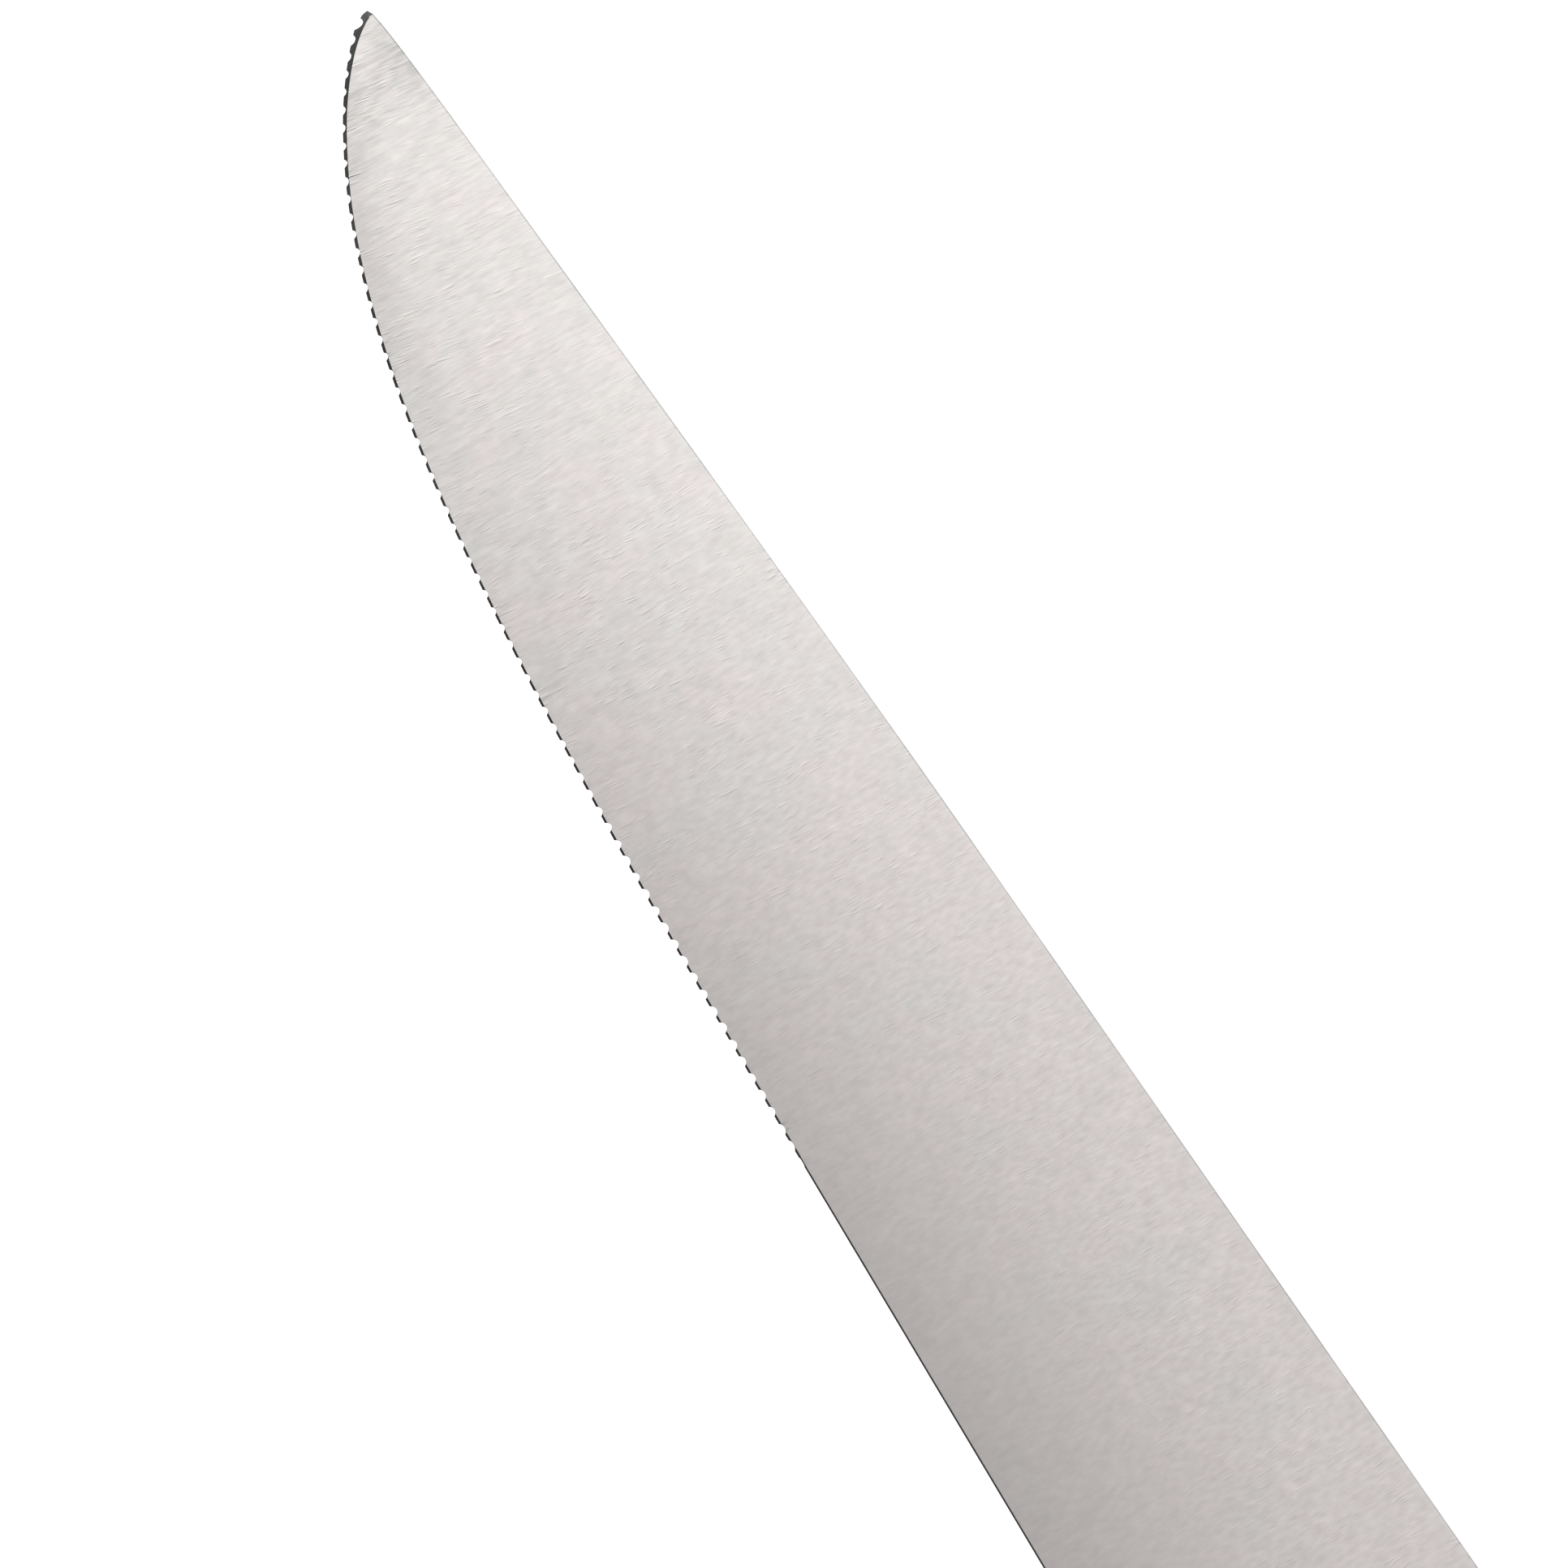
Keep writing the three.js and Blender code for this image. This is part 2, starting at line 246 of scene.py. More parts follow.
GRIND_Y = (TANG_HALF - HEEL_THICKNESS / 2.0) / (heel_edge_y(HANDLE_X) - SPINE_Y)
GRIND_X = (TANG_HALF - TIP_THICKNESS / 2.0 + GRIND_Y * SPINE_Y) / BLADE_LENGTH


def half_thickness(x, y):
    """Half the steel's thickness: a plane that falls to the tip and to the edge."""
    return TIP_THICKNESS / 2.0 - GRIND_X * x - GRIND_Y * y


def handle_back_y(back):
    """Back of the handle at a distance behind its front, drooping in one smooth step."""
    return SPINE_Y + HANDLE_DROOP * ease(back / (HANDLE_X - END_X))


def handle_belly_y(back):
    """Belly of the handle: a smooth step in to the waist, and one out to the end."""
    front = SPINE_Y + HANDLE_FRONT_HEIGHT
    waist = handle_back_y(HANDLE_WAIST) + HANDLE_WAIST_HEIGHT
    end = SPINE_Y + HANDLE_DROOP + HANDLE_END_HEIGHT
    first = front + (waist - front) * ease(back / HANDLE_WAIST)
    second = (end - waist) * step_up(back, (HANDLE_WAIST, HANDLE_X - END_X))
    return first + second


def grid_faces(rows, columns):
    """Corner numbers of the quads of a grid whose columns close to a ring."""
    row = np.arange(rows - 1)[:, None]
    column = np.arange(columns)[None, :]
    following = (column + 1) % columns
    low = row * columns
    high = low + columns
    return np.stack([low + column, high + column, high + following, low + following], axis=-1)


def make_mesh(name, points, faces, caps=(), marks=None):
    """Mesh in metres from points in the drawing frame, quads and loose polygons.

    Points that meet at seams and poles are merged, and the faces are turned outwards. Marks is
    one number for each face, kept as an attribute that the materials can read.
    """
    quads = faces.reshape(-1, 4)
    corners = np.concatenate([quads.ravel(), *caps]).astype(np.int32)
    totals = np.concatenate([np.full(len(quads), 4), [len(cap) for cap in caps]]).astype(np.int32)
    places = (points.reshape(-1, 3) + DRAWING_ORIGIN) * MM
    mesh = bpy.data.meshes.new(name)
    mesh.vertices.add(len(places))
    mesh.vertices.foreach_set("co", places.astype(np.float32).ravel())
    mesh.loops.add(len(corners))
    mesh.loops.foreach_set("vertex_index", corners)
    mesh.polygons.add(len(totals))
    mesh.polygons.foreach_set("loop_start", (np.cumsum(totals) - totals).astype(np.int32))
    mesh.update(calc_edges=True)
    if marks is not None:
        layer = mesh.attributes.new("grind", "FLOAT", "FACE")
        layer.data.foreach_set("value", marks.astype(np.float32))
    work = bmesh.new()
    work.from_mesh(mesh)
    bmesh.ops.remove_doubles(work, verts=work.verts[:], dist=MERGE_DISTANCE * MM)
    bmesh.ops.recalc_face_normals(work, faces=work.faces[:])
    work.to_mesh(mesh)
    work.free()
    return mesh


def turned_points(profile, centre):
    """Profile of radius and height, turned about an upright axis at a centre."""
    radius, height = np.array(profile, float).T
    angle = np.linspace(0.0, 2.0 * math.pi, TURN_STEPS, endpoint=False)
    ring = np.stack([np.cos(angle), np.sin(angle)], axis=-1)
    flat = centre + radius[:, None, None] * ring[None, :, :]
    level = np.broadcast_to(height[:, None, None], flat.shape[:2] + (1,))
    return np.concatenate([flat, level], axis=-1)


def turned_mesh(name, profile, centres):
    """Closed turned bodies of one profile, one at each centre."""
    points = np.stack([turned_points(profile, centre) for centre in centres])
    count = points.shape[1] * points.shape[2]
    faces = grid_faces(points.shape[1], points.shape[2]).reshape(-1, 4)
    shifted = np.arange(len(centres))[:, None, None] * count + faces[None, :, :]
    return make_mesh(name, points, shifted)


def cut_away(mesh, cutter):
    """The mesh less the closed bodies of a cutter, as a new mesh of the same name."""
    scene = bpy.context.scene
    objects = [bpy.data.objects.new(body.name, body) for body in (mesh, cutter)]
    for body in objects:
        scene.collection.objects.link(body)
    boolean = objects[0].modifiers.new("holes", "BOOLEAN")
    boolean.operation = "DIFFERENCE"
    boolean.solver = "EXACT"
    boolean.object = objects[1]
    bpy.context.view_layer.update()
    graph = bpy.context.evaluated_depsgraph_get()
    solid = objects[0].evaluated_get(graph)
    result = bpy.data.meshes.new_from_object(solid, preserve_all_data_layers=True, depsgraph=graph)
    if len(result.vertices) <= len(mesh.vertices):
        raise RuntimeError(f"{mesh.name} could not be drilled")
    for body in objects:
        bpy.data.objects.remove(body)
    name = mesh.name
    bpy.data.meshes.remove(mesh)
    bpy.data.meshes.remove(cutter)
    result.name = name
    return result


def rivet_centres():
    """Rivet axes in the drawing frame, taken from the boxes of the frame's rivet pins."""
    boxes = np.array([box_mm(f"rivet_{name}_post") for name in RIVET_NAMES])
    return boxes.mean(axis=1)[:, :2] - DRAWING_ORIGIN[:2]


def add_piece(mesh, material, node):
    """Object at the origin for a finished mesh, which stands for a node of the frame.

    Its shading is smooth, with creases where faces meet at more than the sharp angle.
    """
    mesh.shade_smooth()
    mesh.set_sharp_from_angle(angle=SHARP_ANGLE)
    mesh.materials.clear()
    mesh.materials.append(material)
    piece = bpy.data.objects.new(mesh.name, mesh)
    bpy.context.scene.collection.objects.link(piece)
    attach(piece, "root")
    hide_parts(node)


# Blade surface

def belly_line():
    """Curved edge as distance from the tip, points and outward normals.

    A cubic Bezier curve leaves the heel edge in its direction and arrives at the tip's angle.
    It is cut where it meets the end of the blunt tip. A short straight line before it carries
    the last teeth.
    """
    heel = np.array([1.0, -EDGE_SLOPE]) / math.hypot(1.0, EDGE_SLOPE)
    nose = np.array([math.cos(TIP_ANGLE), -math.sin(TIP_ANGLE)])
    start = np.array([-BELLY_LENGTH, BELLY_DEPTH])
    stop = np.array([TIP_REACH, -TIP_LIFT])
    first = start + BELLY_HEEL_PULL * heel
    second = stop - BELLY_TIP_PULL * nose
    t = np.linspace(0.0, 1.0, CURVE_STEPS)[:, None]
    s = 1.0 - t
    points = s**3 * start + 3.0 * s * s * t * first + 3.0 * s * t * t * second + t**3 * stop
    slope = s * s * (first - start) + 2.0 * s * t * (second - first) + t * t * (stop - second)
    slope /= np.linalg.norm(slope, axis=1, keepdims=True)
    normals = np.stack([-slope[:, 1], slope[:, 0]], axis=1)
    points = np.concatenate([[start - TOOTHED_HEEL * heel], points])
    normals = np.concatenate([normals[:1], normals])
    arc = np.concatenate([[0.0], np.cumsum(np.linalg.norm(np.diff(points, axis=0), axis=1))])
    return np.interp(TIP_X, points[:, 0], arc) - arc, points, normals


def at_distance(line, distance):
    """Point and outward normal of the curved edge at distances from the tip."""
    from_tip, points, normals = line
    columns = np.concatenate([points, normals], axis=1)[::-1].T
    rows = [np.interp(distance, from_tip[::-1], column) for column in columns]
    return np.stack(rows[:2], axis=1), np.stack(rows[2:], axis=1)


def nose_line(end, normal):
    """Blunt end of the tip as points and outward normals, from the back to the end of the edge.

    It is straight at first, and rounds into the edge with a power of the share of its height.
    """
    share = np.linspace(0.0, 1.0, NOSE_STEPS)[:-1, None]
    start = np.array([TIP_X, spine_y(TIP_X) + NOSE_GAP])
    points = start + (end - start) * np.concatenate([share**NOSE_ROUND, share], axis=1)
    lean = np.array([math.cos(NOSE_LEAN), -math.sin(NOSE_LEAN)])
    normals = (1.0 - share) * lean + share * normal
    return points, normals / np.linalg.norm(normals, axis=1, keepdims=True)


def notches(length, pitch, depth):
    """Middles, widths and depths of the notches: even, with a slight spread.

    The depth rises in a smooth step behind the tip, and width and depth rise in another one
    towards the heel. The first notches are wider and deeper by a term that fades from the tip.
    The depth of the last ones falls with a quarter ellipse.
    """
    count = int((length - FIRST_NOTCH - NOTCH_WIDTH / 2.0) / pitch) + 1
    spread = np.random.default_rng(TOOTH_SEED).uniform(-1.0, 1.0, (3, count))
    middle = FIRST_NOTCH + pitch * np.arange(count)
    near = np.exp(-middle / TIP_NOTCH_FADE)
    far = step_up(middle, HEEL_NOTCH_RISE)
    width = NOTCH_WIDTH + TIP_NOTCH_WIDTH * near + HEEL_NOTCH_WIDTH * far
    share = SHALLOW_SHARE + (1.0 - SHALLOW_SHARE) * ease(middle / SHALLOW_LENGTH)
    deep = depth * (share + HEEL_NOTCH_SHARE * far) + TIP_NOTCH_DEPTH * near
    width *= 1.0 + WIDTH_SPREAD * spread[0]
    late = np.clip((middle - RUN_OUT_START) / RUN_OUT_LENGTH, 0.0, 1.0)
    deep *= (1.0 + DEPTH_SPREAD * spread[1]) * np.sqrt(1.0 - late * late)
    return middle + PLACE_SPREAD * spread[2], width, deep


def notch_depth(distance, cuts):
    """Depth of the toothed edge at distances from the tip: each notch is a rounded U.

    The U is one less a power of the distance from its middle, as a share of its reach on that side.
    """
    middle, width, deep = cuts
    edges = (middle[1:] + middle[:-1]) / 2.0
    tooth = np.searchsorted(edges, distance)
    away = distance - middle[tooth]
    side = width[tooth] * np.where(away < 0.0, NOTCH_TIP_SHARE, 1.0 - NOTCH_TIP_SHARE)
    return deep[tooth] * np.clip(1.0 - np.abs(away / side) ** NOTCH_ROUND, 0.0, None)


def edge_distances(length, cuts):
    """Distances from the tip of all sections: several in each notch and one on each tooth."""
    middle, width, _ = cuts
    step = np.linspace(-1.0, 1.0, NOTCH_STEPS)
    side = width[:, None] * np.where(step < 0.0, NOTCH_TIP_SHARE, 1.0 - NOTCH_TIP_SHARE)
    inside = (middle[:, None] + step * side).ravel()
    teeth = np.concatenate([[0.0], (middle[1:] + middle[:-1]) / 2.0, [length]])
    return np.unique(np.concatenate([inside[(inside > 0.0) & (inside < length)], teeth]))


def bevel_width(distance):
    """Width of the ground edge: narrow, and wider towards the tip by two fading terms.

    Behind the teeth it steps down to the still narrower edge of the heel.
    """
    heel = (HEEL_BEVEL - BEVEL_WIDTH) * step_up(distance, HEEL_BEVEL_STEP)
    belly = BEVEL_BELLY_WIDTH * np.exp(-distance / BEVEL_BELLY_FADE)
    return BEVEL_WIDTH + heel + belly + BEVEL_TIP_WIDTH * np.exp(-distance / BEVEL_TIP_FADE)


def steel_ring(back, guide, inner, outer, halves, crown, roll):
    """Closed sections of the steel, one for each row of the four guiding points.

    Front rows: the rounding of the back, a quarter circle; the face from back to guide, with a
    crown that is a parabola across and a roll, a square of the distance, at the guide; the
    bevel's border; the edge. The back face mirrors them. The rows of the face are closer at the
    guide, and a narrow strip beside the rounding keeps the rounding's shading off the face.
    Crown and roll are numbers, or one for each section.
    """
    back_half, guide_half, inner_half, front_half, rear_half = halves
    width = guide[:, 1] - back[:, 1]
    radius = np.minimum(BACK_ROUND, ROUND_SHARE * width)
    angle = quarter(ROUND_STEPS)[None, :-1]
    round_y = back[:, 1:] + radius[:, None] * (1.0 - np.cos(angle))
    round_z = back_half[:, None] - radius[:, None] * (1.0 - np.sin(angle))
    room = np.maximum(width, radius + LEAST_ROOM)[:, None]
    start = radius[:, None] / room
    strip = np.minimum(BACK_STRIP / room, (1.0 - start) / FACE_STEPS)
    across = 1.0 - np.linspace(1.0, 0.0, FACE_STEPS)[None, :] ** FACE_CROWDING
    share = np.concatenate([start, start + strip + (1.0 - start - strip) * across], axis=1)
    face_y = back[:, 1:] + width[:, None] * share
    bulge = crown * width[:, None] ** 2 * share * (1.0 - share)
    to_guide = width[:, None] * (1.0 - share)
    bulge = bulge - roll * np.clip(1.0 - to_guide / ROLL_WIDTH, 0.0, None) ** 2
    face_z = back_half[:, None] + (guide_half - back_half)[:, None] * share + bulge
    y = np.concatenate([round_y, face_y, inner[:, 1:]], axis=1)
    x = np.concatenate([np.repeat(back[:, :1], y.shape[1] - 1, axis=1), inner[:, :1]], axis=1)
    z = np.concatenate([round_z, face_z, inner_half[:, None]], axis=1)
    front = np.stack([x, y, z], axis=-1)
    rear = front[:, ::-1] * np.array([1.0, 1.0, -1.0])
    crest = np.stack([np.column_stack([outer, half]) for half in (front_half, rear_half)], axis=1)
    return np.concatenate([front, crest, rear], axis=1)


def edge_rings(points, normals, depth, bevel, reach, roll):
    """Sections of the blade at edge points, cut back by a depth along the outward normal.

    The bevel falls from its border at an even slope, as far as a notch leaves it, and may pass
    the middle of the steel. The back face has the same bevel, or what is left for it. Outside
    the guide crown and roll go on at the slope that they have there.
    """
    guide_depth = np.maximum(bevel, reach) + NOTCH_LIP
    inner_depth = np.maximum(bevel, depth + LAND_STEP)
    guide, inner, outer = (
        points - normals * inset[:, None] for inset in (guide_depth, inner_depth, depth)
    )
    back = np.column_stack([guide[:, 0], spine_y(guide[:, 0])])
    back_half, guide_half, inner_half, outer_half = (
        half_thickness(*place.T) for place in (back, guide, inner, outer)
    )
    crown = FACE_CROWN * np.clip(-back[:, 0] / CROWN_LENGTH, 0.0, 1.0) ** CROWN_POWER
    slope = crown * (guide[:, 1] - back[:, 1]) + 2.0 * roll / ROLL_WIDTH
    inner_half = inner_half - roll - slope * (guide_depth - inner_depth)
    outer_half = outer_half - roll - slope * (guide_depth - depth)
    ground = np.clip(bevel - depth, 0.0, None)
    front_half = np.maximum(outer_half - ground * BEVEL_SLOPE, EDGE_LAND - outer_half)
    rear_half = np.minimum(-front_half, front_half - EDGE_LAND)
    halves = (back_half, guide_half, inner_half, front_half, rear_half)
    return steel_ring(back, guide, inner, outer, halves, crown[:, None], roll[:, None])


def tang_rings(x, top, bottom):
    """Sections of the flat tang between its top and its bottom line."""
    full = np.full(len(x), TANG_HALF)
    ledge = np.minimum(NOTCH_LIP, TANG_LIP_SHARE * (bottom - top))
    back, guide, inner, outer = (
        np.column_stack([x, y]) for y in (top, bottom - 2.0 * ledge, bottom - ledge, bottom)
    )
    return steel_ring(back, guide, inner, outer, (full, full, full, full, -full), 0.0, 0.0)


def blade_surface(pitch, depth):
    """Sections of the whole steel, and how many of them are ground.

    They are the tip, the toothed belly, the plain heel, the step up to the tang, and the tang.
    A stretch of the belly is set back a little, and on another one the face rolls off at the
    edge. The step is a smooth blend of the last section of the heel and the first of the tang.
    """
    line = belly_line()
    length = line[0][0]
    cuts = notches(length, pitch, depth)
    distance = edge_distances(length, cuts)
    points, normals = at_distance(line, distance)
    setback = BELLY_SETBACK * stretch(distance, SETBACK_START, SETBACK_STOP)
    points = points - normals * setback[:, None]
    depth = notch_depth(distance, cuts)
    bevel = bevel_width(distance)
    reach = cuts[2].max()
    roll = ROLL_DROP * stretch(distance, ROLL_START, ROLL_STOP)
    belly = edge_rings(points, normals, depth, bevel, reach, roll)

    nose_points, nose_normals = nose_line(points[0] - normals[0] * depth[0], normals[0])
    nose_bevel = np.linspace(NOSE_BEVEL, bevel[0] - depth[0], NOSE_STEPS)[:-1]
    plain = np.zeros(NOSE_STEPS - 1)
    nose = edge_rings(nose_points, nose_normals, plain, nose_bevel, reach, plain)

    heel_x = np.linspace(points[-1, 0], HEEL_X, HEEL_STEPS)[1:]
    heel_points = np.column_stack([heel_x, heel_edge_y(heel_x)])
    heel_normals = np.repeat(normals[-1:], len(heel_x), axis=0)
    heel_bevel = np.full(len(heel_x), bevel_width(length))
    plain = np.zeros(len(heel_x))
    heel = edge_rings(heel_points, heel_normals, plain, heel_bevel, reach, plain)

    back = np.linspace(0.0, HANDLE_X - END_X, HANDLE_STEPS)
    tang = tang_rings(HANDLE_X - back, handle_back_y(back), handle_belly_y(back))
    turn = quarter(END_STEPS)[1:]
    half = HANDLE_END_HEIGHT / 2.0 * np.cos(turn)
    end = tang_rings(END_X - HANDLE_END_ROUND * np.sin(turn), END_Y - half, END_Y + half)

    share = np.linspace(0.0, 1.0, HEEL_STEPS)[1:-1, None, None]
    step = heel[-1] + (tang[0] - heel[-1]) * ease(share)
    step[..., 0] = heel[-1][:, 0] + (tang[0][:, 0] - heel[-1][:, 0]) * share[..., 0]
    rings = np.concatenate([nose, belly, heel, step, tang, end])
    return rings, len(nose) + len(belly) + len(heel)


def blade_mesh(name, pitch, depth):
    """Closed blade: the skin as a grid of sections, three polygons at the tip, drilled tang."""
    rings, ground_rows = blade_surface(pitch, depth)
    rows, columns = rings.shape[:2]
    crest = columns // 2
    marks = np.zeros((rows - 1, columns))
    marks[: ground_rows - 1, crest - 2:crest + 1] = EDGE_MARK
    marks[ground_rows - 1:, crest - 2:crest + 1] = BACK_MARK
    marks[:, : ROUND_STEPS - 1] = BACK_MARK
    marks[:, -ROUND_STEPS:] = BACK_MARK
    caps = [
        np.arange(crest),
        np.arange(crest, columns),
        np.array([0, crest - 1, crest, columns - 1]),
    ]
    marks = np.append(marks.ravel(), np.full(len(caps), EDGE_MARK))
    mesh = make_mesh(name, rings, grid_faces(rows, columns), caps, marks)
    hole = RIVET_TUBE_RADIUS + RIVET_FIT
    bore = [(0.0, -SCALE_OUTER), (hole, -SCALE_OUTER), (hole, SCALE_OUTER), (0.0, SCALE_OUTER)]
    return cut_away(mesh, turned_mesh("bores", bore, rivet_centres()))


# Scale and rivet surfaces

def handle_loop():
    """Outline of the handle as a loop of points with inward normals, from the front of its back.

    Back line, half ellipse of the end, belly line and the straight front. Each normal is the
    mean of its two neighbouring sides' normals, lengthened so that offset sides stay parallel.
    """
    back = np.linspace(0.0, HANDLE_X - END_X, HANDLE_STEPS)
    turn = np.linspace(0.0, math.pi, 2 * END_STEPS)[1:-1]
    top = np.column_stack([HANDLE_X - back, handle_back_y(back)])
    end = np.column_stack([
        END_X - HANDLE_END_ROUND * np.sin(turn),
        END_Y - HANDLE_END_HEIGHT / 2.0 * np.cos(turn),
    ])
    under = np.column_stack([HANDLE_X - back, handle_belly_y(back)])[::-1]
    loop = np.concatenate([top, end, under])
    side = np.roll(loop, -1, axis=0) - loop
    side /= np.linalg.norm(side, axis=1, keepdims=True)
    inward = np.column_stack([side[:, 1], -side[:, 0]])
    before = np.roll(inward, 1, axis=0)
    normals = (inward + before) / (1.0 + np.sum(inward * before, axis=1, keepdims=True))
    return loop, normals


def scale_mesh(name, side):
    """One scale: a profile carried round the outline, closed by flat polygons, and drilled.

    The profile goes up a straight wall, over a quarter ellipse and on to a flat margin. Points that
    would pass its front line join the nearer corner.
    """
    loop, normals = handle_loop()
    angle = quarter(BORDER_STEPS)
    outer = SCALE_OUTER - RIVET_PROUD
    shoulder = TANG_HALF + SCALE_WALL
    border = SCALE_ROUND * (1.0 - np.cos(angle))
    inset = np.concatenate([[0.0], border, [SCALE_ROUND + FLAT_MARGIN]])
    level = np.concatenate([[TANG_HALF], shoulder + (outer - shoulder) * np.sin(angle), [outer]])
    flat = loop[None, :, :] + inset[:, None, None] * normals[None, :, :]
    corner = np.where(np.arange(len(loop))[:, None] < len(loop) / 2.0, flat[:, :1], flat[:, -1:])
    flat = np.where(flat[..., :1] > HANDLE_X - inset[:, None, None], corner, flat)
    height = np.broadcast_to(side * level[:, None, None], flat.shape[:2] + (1,))
    points = np.concatenate([flat, height], axis=-1)
    rows, columns = points.shape[:2]
    ring = np.arange(columns)
    mesh = make_mesh(name, points, grid_faces(rows, columns), [ring, ring + (rows - 1) * columns])
    tube = RIVET_TUBE_RADIUS + RIVET_FIT
    head = RIVET_HEAD_RADIUS + SEAT_FIT
    beyond = 2.0 * SCALE_OUTER
    seat = np.array([
        (0.0, 0.0),
        (tube, 0.0),
        (tube, RIVET_UNDER),
        (head, RIVET_UNDER),
        (head, beyond),
        (0.0, beyond),
    ])
    return cut_away(mesh, turned_mesh("seats", seat * (1.0, side), rivet_centres()))


def rim(side):
    """Quarter circle that rounds the rim of a rivet head, from its side to its face."""
    angle = quarter(ROUND_STEPS)
    out = RIVET_HEAD_RADIUS - RIVET_RIM * (1.0 - np.cos(angle))
    up = SCALE_OUTER - RIVET_RIM * (1.0 - np.sin(angle))
    return list(zip(out, side * up))


def pin_profile():
    """Headed pin from the back face, which ends inside the tube of its socket."""
    end = RIVET_UNDER - RIVET_END_GAP
    return [
        (0.0, -SCALE_OUTER),
        *reversed(rim(-1.0)),
        (RIVET_HEAD_RADIUS, -RIVET_UNDER),
        (RIVET_POST_RADIUS, -RIVET_UNDER),
        (RIVET_POST_RADIUS, end),
        (0.0, end),
    ]


def socket_profile():
    """Headed tube from the front face, open at the back for the pin."""
    end = RIVET_END_GAP - RIVET_UNDER
    hole = RIVET_POST_RADIUS + RIVET_FIT
    return [
        (0.0, RIVET_UNDER),
        (hole, RIVET_UNDER),
        (hole, end),
        (RIVET_TUBE_RADIUS, end),
        (RIVET_TUBE_RADIUS, RIVET_UNDER),
        (RIVET_HEAD_RADIUS, RIVET_UNDER),
        *rim(1.0),
        (0.0, SCALE_OUTER),
    ]


# Materials

# Steel: grains across and along the grinding lines, in millimetres, and the finest lines' length in widths
BAND_GRAIN = (0.21, 2.3)
CLOUD_GRAIN = (1.3, 1.7)
MOTTLE_GRAIN = (0.31, 0.7)
CLUSTER_GRAIN = (1.1, 1.9)
HEEL_SCRATCH_GRAIN = (0.095, 1.15)
TIP_SCRATCH_GRAIN = (0.07, 1.35)
SCRATCH_GAP = 0.07
TINT_GRAIN = (5.0, 6.0)
FLECK_GRAIN = (0.75, 1.05)
BACK_GRAIN = (6.0, 3.0, 3.0)
LINE_STRETCH = 15.0

# Steel: turn of the lines at the tip, and turn and offset of each set of scratches
TIP_TURN = math.radians(-8.0)
TIP_SCRATCHES = ((math.radians(-6.0), 11.0), (math.radians(-9.5), 37.0))
HEEL_SCRATCHES = ((math.radians(4.0), 61.0), (math.radians(-5.0), 83.0))

# Steel: levels of a noise between which its marks rise
CLUSTER_RISE = (0.49, 0.64)
SCRATCH_RISE = (0.57, 0.72)
TINT_RISE = (0.34, 0.66)
BACK_RISE = (0.4, 0.6)

# Steel: where a change starts and where it is full, along or across the blade, in metres
COARSE_REACH = (0.03, 0.113)
TIP_ZONE = (0.074, 0.098)
CALM_REACH = (0.085, 0.026)
CALM_SIDE = (-0.004, 0.005)
LEAN_SIDE = (-0.008, -0.003)
# Steel: patch behind the tip, with stronger marks and painted shade, and where that shade lessens away
# from the back
WEAR_AND_SHADE_REACH = (0.1055, 0.1105)
WEAR_AND_SHADE_STOP = (0.1105, 0.1128)
TIP_SHADE_SIDE = (-0.0095, -0.0068)
# Steel: where the painted highlight on the ground edge at the very tip starts and where it is full
NOSE_HIGHLIGHT_REACH = (0.113, 0.1139)

# Steel: strength of its marks, and of what changes them
LINE_SHARE = 0.14
TIP_LINE_SHARE = 0.24
BAND_SHARE = 0.16
TIP_BAND_SHARE = 0.4
CLOUD_SHARE = 0.3
MOTTLE_SHARE = 0.8
TIP_MOTTLE_SHARE = 0.26
LIGHT_SHARE = 0.31
DARK_SHARE = 0.38
STRAY_SHARE = 0.1
HEEL_SCRATCH_SHARE = 0.72
HEEL_SCRATCH_GAIN = 0.62
LEAN_LEAST = 0.62
LEAN_GAIN = 0.65
CALM_SHARE = 0.78
SOFT_CALM_SHARE = 0.36
COARSE_GAIN = 0.7
WORN_GAIN = 1.5
WEAR_AND_SHADE_STOP_SHARE = 0.6
# Steel: depth of the painted shade behind the tip, and how much less it is away from the back
TIP_SHADE_DEPTH = 0.22
TIP_SHADE_LEAN = 0.16
# Steel: strength of the painted highlight on the ground edge at the very tip
NOSE_HIGHLIGHT_GAIN = 0.7
TINT_LEAN = 0.32
TINT_SHARE = 0.7
FLECK_SHARE = 2.0
BACK_LEAST = 0.72
BAND_ROUGHNESS = 0.06
EDGE_SMOOTHNESS = 0.12

# Wood: its noises and the heart of its rings, in millimetres
RING_SWAY = {"size": (70.0, 16.0, 16.0)}
RING_RIPPLE = {"size": (14.0, 3.0, 3.0), "offset": (4.0, 2.0, 6.0)}
FIBRE = {"size": (11.0, 0.16, 0.16), "detail": 3.0, "roughness": 0.6, "offset": (1.0, 2.0, 3.0)}
PORE = {"size": (2.6, 0.1, 0.1), "detail": 1.0, "offset": (8.0, 5.0, 2.0)}
WOOD_CLOUD = {"size": (40.0, 9.0, 9.0), "detail": 1.0, "offset": (3.0, 7.0, 5.0)}
SWAY_WIDTH = 11.0
RIPPLE_WIDTH = 1.6
HEART_ACROSS = 31.0
HEART_DEEP = 24.0
HEART_SLOPE = 0.05
RING_OVAL = 0.9

# Wood: levels between which its marks rise, and their strength
LATE_RISE = (0.3, 0.93)
LATE_FALL = (0.93, 1.0)
LATE_LEAST = 0.4
LATE_SHARE = 0.75
FIBRE_SHARE = 0.9
WOOD_CLOUD_SHARE = 0.7
WOOD_TONE = 0.12
PORE_RISE = (0.62, 0.74)
PORE_DARK = 0.38
END_GRAIN_RISE = (0.45, 0.9)
END_GRAIN_DARK = 0.22
